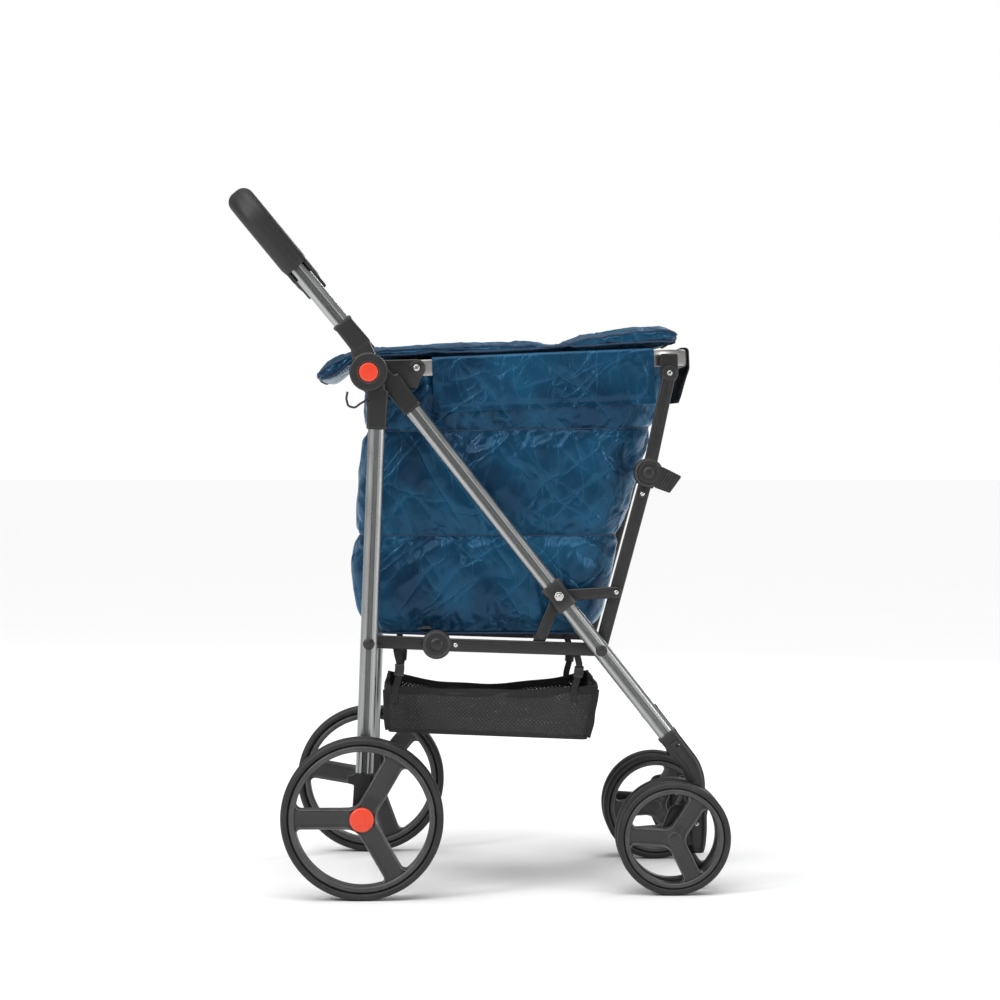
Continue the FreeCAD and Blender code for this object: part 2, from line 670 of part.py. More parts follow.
def button(label, side):
    """Release button, with room behind it for its travel."""
    piece = Piece(label)
    face = handle_layer + half_tube + 2 * size.layer_gap
    piece.pad("sheet.button_depth - sheet.button_travel - 2 * sheet.rest_gap",
              circle(0, 0, size.button_radius), lift=-side * face,
              middle=False, back=side < 0)
    return keep(piece.at(0.0, 0.0, size.hub_height))


for name, side in SIDES:
    handle_socket(f"handle_socket_{name}", side)
    button(f"hub_button_{name}", side)

# ---------------------------------------------------------------- wheels


def tyre(label, radius, width, depth, place, y):
    """Rubber ring with rounded shoulders."""
    piece = Piece(label)
    inner, half, round_off = radius - depth + 0.1, width / 2, 0.3 * depth
    piece.turn(polygon([
        (inner, -half), (radius - round_off, -half), (radius, -half + 2 * round_off),
        (radius, half - 2 * round_off), (radius - round_off, half), (inner, half)]))
    return keep(piece.at(place[0], y, place[1]))


def rim(label, radius, width, band, hub, bore, spoke, spoke_depth, place, y):
    """Moulded wheel: hub, band and three spokes."""
    piece = Piece(label)
    half = width / 2
    piece.turn(polygon([(radius - band, -half + 2), (radius, -half + 2),
                        (radius, half - 2), (radius - band, half - 2)]),
               polygon([(bore, -half), (hub, -half), (hub, half), (bore, half)]))
    for angle in (60.0, 180.0, 300.0):
        turn = math.radians(angle)
        along = (math.cos(turn), math.sin(turn))
        off = (-along[1] * spoke / 2, along[0] * spoke / 2)
        near, far = hub * 0.8, radius - 0.5 * band
        piece.pad(f"{spoke_depth}", polygon([
            (near * along[0] - off[0], near * along[1] - off[1]),
            (far * along[0] - off[0], far * along[1] - off[1]),
            (far * along[0] + off[0], far * along[1] + off[1]),
            (near * along[0] + off[0], near * along[1] + off[1])]))
    return keep(piece.at(place[0], y, place[1]))


def caster_fork(label, side):
    """Swivel body between the two wheels of a caster, trailing to their axle."""
    piece = Piece(label)
    post, half = swivel_reach, size.fork_width / 2
    ax, az = caster_axle
    piece.pad("sheet.fork_depth", polygon([
        (post - half, size.fork_top), (post + half, size.fork_top),
        (post + half, size.fork_foot + 12), (post + 4, size.fork_foot),
        (ax, az - size.fork_eye), (ax, az + size.fork_eye),
        (ax - 4, az + size.fork_eye + 24), (ax + 8, size.fork_top - 4)]))
    piece.pad("sheet.fork_depth", circle(ax, az, size.fork_eye))
    piece.cut("4 * sheet.fork_depth",
              circle(ax, az, size.caster_axle_radius + size.running_gap))
    piece.cut("sheet.swivel_pin_length",
              circle(post, 0, size.swivel_pin_radius + size.running_gap),
              plane="XY_Plane", lift=size.fork_top, middle=False)
    return keep(piece.at(0.0, side * front_layer, 0.0))


def caster_pin(label, side):
    """Axle through the fork and both wheels of a caster."""
    piece = Piece(label)
    piece.pad("2 * sheet.caster_width + sheet.caster_gap - 2 * sheet.layer_gap",
              circle(0, 0, size.caster_axle_radius))
    return keep(piece.at(caster_axle[0], side * front_layer, caster_axle[1]))


for name, side in SIDES:
    y = side * rear_wheel_layer
    rim(f"rear_rim_{name}", size.rear_radius - size.tyre_depth, size.rear_width, size.rear_band,
        size.rear_hub_radius, size.axle_radius + size.running_gap, size.rear_spoke,
        size.rear_spoke_depth, rear_axle, y)
    tyre(f"rear_tyre_{name}", size.rear_radius, size.rear_width, size.tyre_depth, rear_axle, y)
    caster_fork(f"caster_fork_{name}", side)
    caster_pin(f"caster_axle_{name}", side)
    for place, shift in (("outer", 1), ("inner", -1)):
        y = side * (front_layer + shift * (size.caster_gap + size.caster_width) / 2)
        rim(f"front_rim_{name}_{place}", size.caster_radius - size.caster_tyre,
            size.caster_width, size.caster_band, size.caster_hub_radius,
            size.caster_axle_radius + size.running_gap, size.caster_spoke,
            size.caster_spoke_depth, caster_axle, y)
        tyre(f"front_tyre_{name}_{place}", size.caster_radius, size.caster_width,
             size.caster_tyre, caster_axle, y)

    cap = Piece(f"wheel_cap_{name}")
    cap.pad("sheet.cap_depth", circle(0, 0, size.cap_radius), middle=False, back=side > 0)
    keep(cap.at(rear_axle[0], side * (rear_wheel_layer + size.rear_width / 2),
                rear_axle[1]))

# ---------------------------------------------------------------- bag and cloth parts


def shrink(points, inset):
    """Outline moved inwards by the inset: each corner slides along its two edges' bisector."""
    moved = []
    for i, (x, z) in enumerate(points):
        (px, pz), (nx, nz) = points[i - 1], points[(i + 1) % len(points)]
        a = math.atan2(z - pz, x - px)
        b = math.atan2(nz - z, nx - x)
        half = (b - a) / 2
        scale = inset / math.cos(half)
        moved.append((x - scale * math.sin(a + half), z + scale * math.cos(a + half)))
    return moved


bag_half = size.ring_half_width - size.ring_thick - size.rest_gap
bag_front_top = size.ring_reach - 3 * size.ring_thick
bag_outline = [
    (size.bag_floor_start, bag_floor), (size.bag_floor_front, bag_floor),
    (size.bag_floor_front + 12, bag_floor + 22),
    (size.bag_floor_front + 30, bag_floor + 95),
    (size.bag_floor_front + 65, bag_floor + 240),
    (bag_front_top, ring_height_at(bag_front_top, size.ring_height / 2 - 4)),
    (size.bag_back_top, ring_height_at(size.bag_back_top, size.ring_height / 2 - 4)),
    (size.bag_back_top - 12, bag_floor + 280), (-size.bag_bulge + 8, bag_floor + 172),
    (-size.bag_bulge, bag_floor + 101), (-size.bag_bulge + 10, bag_floor + 29),
]
inside = shrink(bag_outline, size.bag_wall)
top = 2 * size.ring_height
inside[5] = (bag_front_top - size.bag_wall, inside[5][1] + top)
inside[6] = (size.bag_back_top + size.bag_wall, inside[6][1] + top)


def bag_form(label, side_view, inset):
    """Solid that has the given side view, and in plan round front corners inside the ring."""
    side_form = Piece(f"{label}_side")
    side_form.pad(f"{2 * (bag_half - inset)}", polygon(side_view))
    half, corner = bag_half - inset, size.ring_corner - inset
    turn = (size.ring_reach - size.ring_corner - 2 * size.bag_corner_gap, half - corner)
    start, end = -4 * size.bag_bulge, turn[0] + corner

    def line(a, b):
        return Part.LineSegment(Vector(*a, 0), Vector(*b, 0))

    plan_form = Piece(f"{label}_plan")
    plan_form.pad("2 * sheet.hub_height", [
        line((start, -half), (turn[0], -half)), arc((turn[0], -turn[1]), corner, -90, 0),
        line((end, -turn[1]), (end, turn[1])), arc(turn, corner, 0, 90),
        line((turn[0], half), (start, half)), line((start, half), (start, -half))],
        plane="XY_Plane", middle=False)
    form = doc.addObject("Part::Common", label)
    form.Base, form.Tool = side_form.at(), plan_form.at()
    return form


bag = doc.addObject("Part::Cut", "shopping_bag")
bag.Base = bag_form("bag_outside", bag_outline, 0.0)
bag.Tool = bag_form("bag_inside", inside, size.bag_wall)
keep(bag)

board = Piece("base_board")
board_start = size.bag_floor_start + size.board_inset
board_end = size.bag_floor_front - size.board_inset
board_base = bag_floor + size.bag_wall + size.rest_gap
board.pad(f"{2 * (bag_half - size.board_inset)}",
          rectangle((board_start + board_end) / 2, board_base + size.board_thick / 2,
                    board_end - board_start, size.board_thick))
keep(board.at())

flap_outer = size.ring_half_width + size.rest_gap
over = size.ring_height / 2 + size.rest_gap


def side_flap(name, side):
    """Cloth flap that lies over the ring and hangs outside it."""
    piece = Piece(f"side_flap_{name}")
    near, far = side * (flap_outer - 14), side * flap_outer
    out = side * (flap_outer + size.flap_thick)
    piece.pad("sheet.flap_length", polygon([
        (near, over), (far, over), (far, over - size.flap_drop), (out, over - size.flap_drop),
        (out, over + size.flap_thick), (near, over + size.flap_thick)]),
        plane="YZ_Plane", lift=size.flap_start - ring_pivot[0], middle=False)
    return piece.at(ring_pivot[0], 0.0, ring_pivot[1], -size.ring_tilt)


group("side_flaps", [side_flap(name, side) for name, side in SIDES])

flap = Piece("front_flap")
front = size.ring_reach - ring_pivot[0] + size.rest_gap
flap.pad("2 * sheet.front_flap_half_width", polygon([
    (front - 10, over), (front, over), (front, -over - 2), (front - 22, -over - 50),
    (front - 20, -over - 52), (front + size.flap_thick, -over - 3),
    (front + size.flap_thick, over + size.flap_thick), (front - 10, over + size.flap_thick)]))
keep(flap.at(ring_pivot[0], 0.0, ring_pivot[1], -size.ring_tilt))

lid_under = size.ring_height / 2 + size.flap_thick + size.rest_gap + size.lid_lift
lid_front = front - 16
lid = Piece("lid")
lid.pad("2 * (sheet.ring_half_width - sheet.lid_margin)", polygon([
    (-size.lid_tail, -14), (-size.lid_tail + 20, -17), (-size.lid_tail + 48, lid_under),
    (lid_front, lid_under), (lid_front, lid_under + 6), (lid_front - 20, lid_under + 27),
    (lid_front - 90, lid_under + 26), (lid_front - 172, lid_under + 2),
    (lid_front - 230, lid_under + 17), (lid_front - 400, lid_under + 14),
    (-size.lid_tail + 50, lid_under + 16), (-size.lid_tail + 20, lid_under + 2)]))
keep(lid.at(ring_pivot[0], 0.0, ring_pivot[1], -size.ring_tilt))

rim_up = size.hub_height - size.basket_drop
basket_end = size.basket_start + size.basket_length
basket_outline = [
    (size.basket_start + 4, rim_up - size.basket_depth + 13),
    (size.basket_start + 130, rim_up - size.basket_depth + 5),
    (basket_end - 14, rim_up - size.basket_depth), (basket_end, rim_up),
    (size.basket_start, rim_up)]
basket = Piece("mesh_basket")
basket.pad("2 * sheet.basket_half_width", polygon(basket_outline))
hollow = shrink(basket_outline, size.basket_wall)
hollow[3] = (hollow[3][0] + 1, rim_up + 10)
hollow[4] = (hollow[4][0], rim_up + 10)
basket.cut("2 * (sheet.basket_half_width - sheet.basket_wall)", polygon(hollow))
keep(basket.at())


def basket_strap(label, x, side, rail_layer, rail_up):
    """Strap from the basket's rim up to the inner face of a rail."""
    piece = Piece(label)
    foot = size.basket_half_width + size.rest_gap
    head = rail_layer - half_bar - size.rest_gap
    thick = size.strap_thick
    piece.pad("sheet.strap_width", polygon([
        (side * foot, rim_up - 22), (side * (foot + thick), rim_up - 22),
        (side * (foot + thick), rim_up + 4), (side * head, rail_up - 8),
        (side * head, rail_up + 8), (side * (head - thick), rail_up + 8),
        (side * (head - thick), rail_up - 8), (side * foot, rim_up + 4)]), plane="YZ_Plane")
    return piece.at(x, 0.0, 0.0)


group("basket_straps", [
    strap for name, side in SIDES for strap in (
        basket_strap(f"rear_strap_{name}", size.basket_start + 14, side,
                     inner_bar_layer, rail_fold[1]),
        basket_strap(f"front_strap_{name}", basket_end - 32, side,
                     outer_bar_layer, leg_pivot[1] + 1))])

# ---------------------------------------------------------------- hook on the near socket

hook_root = rear_arm.point(24.0, size.tube_width / 2 + size.socket_lip + 2.5)
hook_path = [(0.0, 0.0), (-9.0, -10.0), (2.0, -22.0), (14.0, -12.0)]
hook = doc.addObject("Part::Feature", "bag_hook")
runs = [Vector(x, 0, z) for x, z in hook_path]
wire = Part.Wire([Part.makeLine(a, b) for a, b in zip(runs, runs[1:])])
solids = [Part.makeSphere(size.hook_wire / 2, p) for p in runs]
for a, b in zip(runs, runs[1:]):
    solids.append(Part.makeCylinder(size.hook_wire / 2, (b - a).Length, a, b - a))
hook.Shape = solids[0].multiFuse(solids[1:]).removeSplitter()
hook.Placement = FreeCAD.Placement(
    Vector(hook_root[0] - 14, -(rear_out + size.hook_wire / 2 + size.rest_gap), hook_root[1] + 12),
    FreeCAD.Rotation())
keep(hook)

# ---------------------------------------------------------------- check, centre and write

doc.recompute()
for thing in doc.Objects:
    if "Invalid" in thing.State or "Error" in thing.State:
        raise RuntimeError(f"{thing.Label} failed: {thing.State}")
whole = FreeCAD.BoundBox()
for node in nodes:
    if node.Shape.isNull() or not node.Shape.isValid() or not node.Shape.Solids:
        raise RuntimeError(f"{node.Label} has no valid solid")
    whole.add(node.Shape.BoundBox)
shift = Vector(-whole.Center.x, 0.0, 0.0)
os.makedirs("parts", exist_ok=True)
for node in nodes:
    placed = node.Shape.copy()
    placed.translate(shift)
    placed.exportStep(f"parts/{node.Label}.step")
print(f"{len(nodes)} nodes, box {whole}, hub at x = {shift.x:.2f}")
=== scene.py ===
"""Folding shopping trolley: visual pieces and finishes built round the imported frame, in metres."""
import json
import logging
import math
from collections.abc import Callable
from dataclasses import dataclass
from enum import Enum

import bmesh
import bpy
import numpy as np
from mathutils.bvhtree import BVHTree
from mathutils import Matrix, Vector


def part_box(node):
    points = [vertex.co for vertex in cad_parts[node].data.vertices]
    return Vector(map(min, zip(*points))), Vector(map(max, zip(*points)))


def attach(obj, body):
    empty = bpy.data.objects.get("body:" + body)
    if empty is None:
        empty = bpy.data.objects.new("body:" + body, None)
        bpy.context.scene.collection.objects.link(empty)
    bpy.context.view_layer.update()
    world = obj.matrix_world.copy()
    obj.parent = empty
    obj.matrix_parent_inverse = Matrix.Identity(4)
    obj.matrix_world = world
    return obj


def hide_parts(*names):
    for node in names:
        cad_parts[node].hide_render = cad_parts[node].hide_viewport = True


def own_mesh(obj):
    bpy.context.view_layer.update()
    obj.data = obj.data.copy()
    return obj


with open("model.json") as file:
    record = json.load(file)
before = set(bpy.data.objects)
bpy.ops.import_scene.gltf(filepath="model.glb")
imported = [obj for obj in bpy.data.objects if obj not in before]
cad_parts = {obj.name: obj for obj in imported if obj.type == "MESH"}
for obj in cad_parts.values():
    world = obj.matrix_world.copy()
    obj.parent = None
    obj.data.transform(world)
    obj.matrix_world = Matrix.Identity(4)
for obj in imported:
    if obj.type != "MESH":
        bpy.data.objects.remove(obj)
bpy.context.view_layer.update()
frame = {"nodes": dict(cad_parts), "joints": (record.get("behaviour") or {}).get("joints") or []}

LOG = logging.getLogger("trolley")
MM = 0.001
SIDES = (("left", 1.0), ("right", -1.0))


# ------------------------------------------------------------------ places read from the frame

def joint_point(name: str) -> np.ndarray:
    """X, Y and Z of a point on a joint's axis.

    Args:
        name: the joint's name in the frame.

    Returns:
        The point, in metres.
    """
    found = next(joint for joint in frame["joints"] if joint["name"] == name)
    return np.array(found["pos_m"], float)


def side_point(name: str) -> np.ndarray:
    """X and Z of a joint's axis."""
    return joint_point(name)[[0, 2]]


def node_points(node: str) -> np.ndarray:
    """Every vertex of a CAD node, as an array (n, 3)."""
    mesh = frame["nodes"][node].data
    flat = np.empty(len(mesh.vertices) * 3)
    mesh.vertices.foreach_get("co", flat)
    return flat.reshape(-1, 3)


def outer_y(node: str) -> float:
    """Greatest distance of a node from the centre plane."""
    return float(np.abs(node_points(node)[:, 1]).max())


def unit(vector: np.ndarray) -> np.ndarray:
    """The vector at length one."""
    return vector / np.linalg.norm(vector)


@dataclass(frozen=True)
class Arm:
    """A straight tube's middle line in the XZ plane: a start level with the hub, a direction."""

    start: np.ndarray
    along: np.ndarray

    @classmethod
    def through(cls, point: np.ndarray, along: np.ndarray) -> "Arm":
        """Arm through a point, started where it passes nearest to the hub."""
        return cls(point + along * float(np.dot(HUB - point, along)), along)

    @property
    def across(self) -> np.ndarray:
        """Unit vector a quarter turn from the arm's direction."""
        return np.array([-self.along[1], self.along[0]])

    def at(self, reach: float, aside: float = 0.0) -> np.ndarray:
        """X and Z at a reach along the arm and a distance across it."""
        return self.start + reach * self.along + aside * self.across

    def reach_of(self, node: str) -> tuple[float, float]:
        """Least and greatest reach of a CAD node along the arm."""
        reach = (node_points(node)[:, [0, 2]] - self.start) @ self.along
        return float(reach.min()), float(reach.max())


HUB = side_point("fold")
LEG_PIVOT = side_point("front_rail_fold")
SLEEVE_PIVOT = side_point("upper_stay_fold")
RAIL_PIVOT = side_point("rear_rail_fold")
LINK_FOLD = side_point("upper_link_fold")
RING_PIVOT = side_point("ring_fold")
REAR_AXLE = side_point("rear_wheel_left_spin")
CASTER_AXLE = side_point("front_wheel_left_outer_spin")
SWIVEL_X = float(joint_point("caster_left_swivel")[0])

HANDLE_TURN = math.radians(39.5)
HANDLE_ALONG = np.array([-math.sin(HANDLE_TURN), math.cos(HANDLE_TURN)])
FRONT_ARM = Arm.through(LEG_PIVOT, unit(LEG_PIVOT - SLEEVE_PIVOT))
REAR_ARM = Arm.through(RAIL_PIVOT, unit(REAR_AXLE - RAIL_PIVOT))
HANDLE_ARM = Arm(HUB + 15.0 * MM * np.array([HANDLE_ALONG[1], -HANDLE_ALONG[0]]), HANDLE_ALONG)

TUBE_WIDE, TUBE_DEEP, BAR_DEEP = 23.5 * MM, 16.0 * MM, 8.0 * MM
HANDLE_Y = outer_y("handle_tube") - TUBE_DEEP / 2
REAR_Y = outer_y("rear_leg_left") - TUBE_DEEP / 2
FRONT_Y = outer_y("front_leg_left") - TUBE_DEEP / 2
OUTER_BAR_Y = outer_y("upper_stays") - BAR_DEEP / 2
INNER_BAR_Y = outer_y("lower_stays") - BAR_DEEP / 2
RING_Y = outer_y("top_ring")


# ------------------------------------------------------------------ curves and outlines

def smooth_step(value: np.ndarray, low: float, high: float) -> np.ndarray:
    """Smooth climb from 0 at low to 1 at high."""
    share = np.clip((value - low) / (high - low), 0.0, 1.0)
    return share * share * (3 - 2 * share)


def disc_hull(discs: list[tuple[float, float, float]], count: int = 64) -> np.ndarray:
    """Outline of the tight band round a set of discs.

    For each direction n the point is the centre of the disc with the largest support,
    centre . n + radius, moved out along n by its radius.

    Args:
        discs: X, Z and radius of each disc.
        count: directions sampled.

    Returns:
        Array (count, 2), counter-clockwise.
    """
    turn = np.arange(count) * 2 * math.pi / count
    normal = np.stack([np.cos(turn), np.sin(turn)], 1)
    data = np.array(discs, float)
    best = np.argmax(normal @ data[:, :2].T + data[:, 2], axis=1)
    return data[best, :2] + normal * data[best, 2:3]


def outline_normals(outline: np.ndarray) -> np.ndarray:
    """Outward unit normals of a closed counter-clockwise outline, from its neighbours' run."""
    run = np.roll(outline, -1, 0) - np.roll(outline, 1, 0)
    normal = np.stack([run[:, 1], -run[:, 0]], 1)
    return normal / np.maximum(np.linalg.norm(normal, axis=1), 1e-12)[:, None]


def oval_section(wide: float, deep: float, recess: float = 0.0, ribs: int = 5,
                 flat_points: int = 20, round_points: int = 9) -> np.ndarray:
    """Section of a flat oval tube: two half rounds joined by two flats.

    Each flat is sunk by the recess between its two shoulders, and a cosine of the given
    number of ribs rises from the sunk floor.

    Args:
        wide: outer size along the first axis.
        deep: outer size along the second axis.
        recess: depth of the ribbed channel, or 0 for a plain tube.
        ribs: ribs in each channel.
        flat_points: points along each flat.
        round_points: points round each end.

    Returns:
        Array (n, 2), counter-clockwise from the right end.
    """
    radius, reach = deep / 2, (wide - deep) / 2
    turn = np.linspace(-math.pi / 2, math.pi / 2, round_points + 2)[1:-1]
    cap = np.stack([reach + radius * np.cos(turn), radius * np.sin(turn)], 1)
    span = np.linspace(1.0, -1.0, flat_points)
    sunk = recess * smooth_step(1.0 - np.abs(span), 0.04, 0.2)
    wave = 0.3 * recess * (1 + np.cos(span * math.pi * ribs)) * (np.abs(span) < 0.8)
    flat = np.stack([span * reach * 1.05, radius - sunk + wave], 1)
    return np.concatenate([cap, flat, -cap, -flat])


def box_section(wide: float, deep: float, corner: float, steps: int = 5) -> np.ndarray:
    """Rectangle with round corners, as points counter-clockwise."""
    hx, hy = wide / 2 - corner, deep / 2 - corner
    quarter = np.linspace(0, math.pi / 2, steps)
    arcs = [np.stack([sx * hx + corner * np.cos(quarter + k * math.pi / 2),
                      sy * hy + corner * np.sin(quarter + k * math.pi / 2)], 1)
            for k, (sx, sy) in enumerate(((1, 1), (-1, 1), (-1, -1), (1, -1)))]
    return np.concatenate(arcs)


def round_path(corners: np.ndarray, radii: list[float], steps: int = 10) -> np.ndarray:
    """Polyline whose inner corners are turned into arcs.

    The arc at a corner touches both its runs; its points are the two touching points,
    seen from the arc's centre, mixed by the sines of the angles left and gone.

    Args:
        corners: array (n, 3).
        radii: one radius for each inner corner.
        steps: points on each arc.

    Returns:
        Array (m, 3).
    """
    parts = [corners[:1]]
    for before, here, after, radius in zip(corners, corners[1:], corners[2:], radii):
        back, on = unit(before - here), unit(after - here)
        half = math.acos(float(np.clip(np.dot(back, on), -1, 1))) / 2
        centre = here + unit(back + on) * radius / math.sin(half)
        start = here + back * radius / math.tan(half) - centre
        end = here + on * radius / math.tan(half) - centre
        total = math.pi - 2 * half
        share = np.linspace(0, 1, steps)[:, None]
        parts.append(centre + (np.sin((1 - share) * total) * start
                               + np.sin(share * total) * end) / math.sin(total))
    parts.append(corners[-1:])
    return np.concatenate(parts)


def resample(path: np.ndarray, count: int, closed: bool = False) -> np.ndarray:
    """The same path at even steps of its length."""
    run = np.concatenate([path, path[:1]]) if closed else path
    length = np.concatenate([[0], np.cumsum(np.linalg.norm(np.diff(run, axis=0), axis=1))])
    at = np.linspace(0, length[-1], count, endpoint=not closed)
    return np.stack([np.interp(at, length, run[:, k]) for k in range(run.shape[1])], 1)


def upright(points: np.ndarray, y: float) -> np.ndarray:
    """X, Y, Z points from X, Z points at one Y."""
    return np.stack([points[:, 0], np.full(len(points), y), points[:, 1]], 1)


# ------------------------------------------------------------------ surfaces

class Shell:
    """Gathers closed surfaces, given as grids of points, into one mesh."""

    def __init__(self) -> None:
        """Starts with nothing."""
        self.points: list[np.ndarray] = []
        self.faces: list[list[int]] = []
        self.uvs: list[np.ndarray] = []
        self.slots: list[int] = []
        self.count = 0

    def grid(self, surface: np.ndarray, wrap_u: bool = False, wrap_v: bool = False,
             slot: int | np.ndarray = 0, uv: np.ndarray | None = None) -> "Shell":
        """Adds a grid of points as quads.

        Args:
            surface: array (nu, nv, 3).
            wrap_u: join the last row to the first.
            wrap_v: join the last column to the first.
            slot: material slot, one number or one for each column of faces.
            uv: array (nu + wrap_u, nv + wrap_v, 2) of places on the cloth, in metres.

        Returns:
            This shell.
        """
        nu, nv = surface.shape[:2]
        mu, mv = nu if wrap_u else nu - 1, nv if wrap_v else nv - 1
        i, j = (a.ravel() for a in np.meshgrid(np.arange(mu), np.arange(mv), indexing="ij"))
        rows, columns = np.stack([i, i + 1, i + 1, i], 1), np.stack([j, j, j + 1, j + 1], 1)
        self.faces.extend(((rows % nu) * nv + columns % nv + self.count).tolist())
        if uv is None:
            uv = self._lengths(surface, wrap_u, wrap_v)
        self.uvs.append(uv[rows, columns].reshape(-1, 2))
        self.slots.extend(np.broadcast_to(slot, (mu, mv)).ravel().tolist())
        self.points.append(surface.reshape(-1, 3))
        self.count += nu * nv
        return self

    @staticmethod
    def _lengths(surface: np.ndarray, wrap_u: bool, wrap_v: bool) -> np.ndarray:
        """Places on the surface, from the lengths along its middle row and column."""
        full = np.concatenate([surface, surface[:1]], 0) if wrap_u else surface
        full = np.concatenate([full, full[:, :1]], 1) if wrap_v else full
        lengths = [np.concatenate([[0], np.cumsum(np.linalg.norm(np.diff(line, axis=0), axis=1))])
                   for line in (full[:, full.shape[1] // 2], full[full.shape[0] // 2])]
        return np.stack(np.meshgrid(*lengths, indexing="ij"), -1)

    def cap(self, ring: np.ndarray, slot: int = 0) -> "Shell":
        """Closes a ring of points with triangles to its middle."""
        middle = np.broadcast_to(ring.mean(0), ring.shape)
        return self.grid(
            np.stack([ring, ring * 0.5 + middle * 0.5, middle]), wrap_v=True, slot=slot)

    def slab(self, outline: np.ndarray, y: float, deep: float, edge: float, steps: int = 5,
             slot: int = 0) -> "Shell":
        """Adds a plate with rounded edges, from an XZ outline.

        Rings go from one face to the other: each is the outline drawn in along its normals
        by edge * (1 - sin t), while Y runs along a quarter circle of the same radius.

        Args:
            outline: array (n, 2), counter-clockwise.
            y: middle of the plate.
            deep: thickness.
            edge: radius of its edges.
            steps: rings on each edge.
            slot: material slot.

        Returns:
            This shell.
        """
        turn = np.linspace(0, math.pi / 2, steps)
        inset = edge * (1 - np.sin(turn))
        rise = deep / 2 - edge * (1 - np.cos(turn))
        insets, heights = np.concatenate([inset, inset[::-1]]), np.concatenate([-rise, rise[::-1]])
        place = outline - insets[:, None, None] * outline_normals(outline)
        surface = np.stack(
            [place[..., 0], np.broadcast_to(y + heights[:, None], place.shape[:2]), place[..., 1]],
            -1)
        self.grid(surface, wrap_v=True, slot=slot)
        return self.cap(surface[0], slot).cap(surface[-1], slot)

    def rod(self, centre: np.ndarray, low: float, high: float, side: float, radius: float = 5 * MM,
            slot: int = 1) -> "Shell":
        """Adds a round bar across the trolley.

        Args:
            centre: X and Z of its axis.
            low: distance of its inner end from the centre plane.
            high: distance of its outer end.
            side: which half it lies in.
            radius: its radius.
            slot: its material.

        Returns:
            This shell.
        """
        profile = np.array([(0, -0.5), (1, -0.5), (1, 0.5), (0, 0.5)]) * [radius, high - low]
        return self.lathe(profile, centre, side * (low + high) / 2, 32, slot=slot)

    def lathe(self, profile: np.ndarray, centre: np.ndarray, y: float, steps: int = 96,
              slot: int | np.ndarray = 0) -> "Shell":
        """Adds a closed profile of radius and Y, turned about an axis along Y."""
        turn = np.arange(steps) * 2 * math.pi / steps
        surface = np.stack(
            [centre[0] + np.cos(turn)[:, None] * profile[:, 0],
             np.broadcast_to(y + profile[:, 1], (steps, len(profile))),
             centre[1] + np.sin(turn)[:, None] * profile[:, 0]], -1)
        return self.grid(surface, wrap_u=True, wrap_v=True, slot=slot)

    def dome(self, centre: np.ndarray, y: float, side: float, radius: float, rise: float,
             foot: float = 0.0, steps: int = 28, slot: int = 0) -> "Shell":
        """Adds a domed head: an upright foot under a quarter ellipse turned about Y.

        Args:
            centre: X and Z of its axis.
            y: where its foot starts.
            side: 1 or -1, the way it faces along Y.
            radius: its radius.
            rise: height of the ellipse.
            foot: height of the upright part.
            steps: points round it.
            slot: material slot.

        Returns:
            This shell.
        """
        turn = np.linspace(0, math.pi / 2, 7)
        radii = np.concatenate([[radius], radius * np.cos(turn)])
        heights = np.concatenate([[0], foot + rise * np.sin(turn)])
        profile = np.stack([np.concatenate([[0], radii]), side * np.concatenate([[0], heights])], 1)
        return self.lathe(profile, centre, y, steps, slot)

    def sweep(self, path: np.ndarray, section: np.ndarray, wide: np.ndarray,
              slot: int | np.ndarray = 0, closed: bool = False) -> "Shell":
        """Adds a section carried along a path.

        At each point the section's first axis lies along wide, less its part along the
        path, and its second along the path's direction crossed with it.

        Args:
            path: array (n, 3).
            section: array (m, 2), or (n, m, 2) where it changes.
            wide: vector, or array (n, 3), that the section's first axis follows.
            slot: material slot, one number or one for each column of faces.
            closed: whether the path is a loop.

        Returns:
            This shell.
        """
        tangent = (
            np.roll(path, -1, 0) - np.roll(path, 1, 0)) if closed else np.gradient(path, axis=0)
        tangent = tangent / np.linalg.norm(tangent, axis=1)[:, None]
        first = np.broadcast_to(wide, path.shape)
        first = first - np.sum(first * tangent, 1)[:, None] * tangent
        first = first / np.linalg.norm(first, axis=1)[:, None]
        second = np.cross(tangent, first)
        if section.ndim == 2:
            section = np.broadcast_to(section, (len(path),) + section.shape)
        surface = (
            path[:, None] + section[..., :1] * first[:, None] + section[..., 1:] * second[:, None])
        self.grid(surface, wrap_u=closed, wrap_v=True, slot=slot)
        if not closed:
            self.cap(surface[0]).cap(surface[-1])
        return self

    def mesh(self, name: str, finishes: list["Finish"], sharp: float = 40.0) -> bpy.types.Object:
        """Makes the object, with its faces outwards.

        Args:
            name: the object's name.
            finishes: one finish for each material slot.
            sharp: edges that turn by more degrees than this stay sharp.

        Returns:
            The object, which rides on nothing yet.
        """
        data = bpy.data.meshes.new(name)
        data.from_pydata(np.concatenate(self.points).tolist(), [], self.faces)
        layer = data.uv_layers.new(name="cloth")
        layer.data.foreach_set("uv", np.concatenate(self.uvs).astype(np.float32).ravel())
        data.polygons.foreach_set("material_index", np.array(self.slots, np.int32))
        for finish in finishes:
            data.materials.append(finish.material())
        made = bpy.data.objects.new(name, data)
        bpy.context.scene.collection.objects.link(made)
        face_outwards(made)
        data.shade_smooth()
        data.set_sharp_from_angle(angle=math.radians(sharp))
        return made

    def piece(self, name: str, finishes: list["Finish"], body: str, *stands_for: str,
              sharp: float = 40.0) -> bpy.types.Object:
        """Makes the object and settles it on its body."""
        return settle(self.mesh(name, finishes, sharp), finishes[0].slot, body, *stands_for)


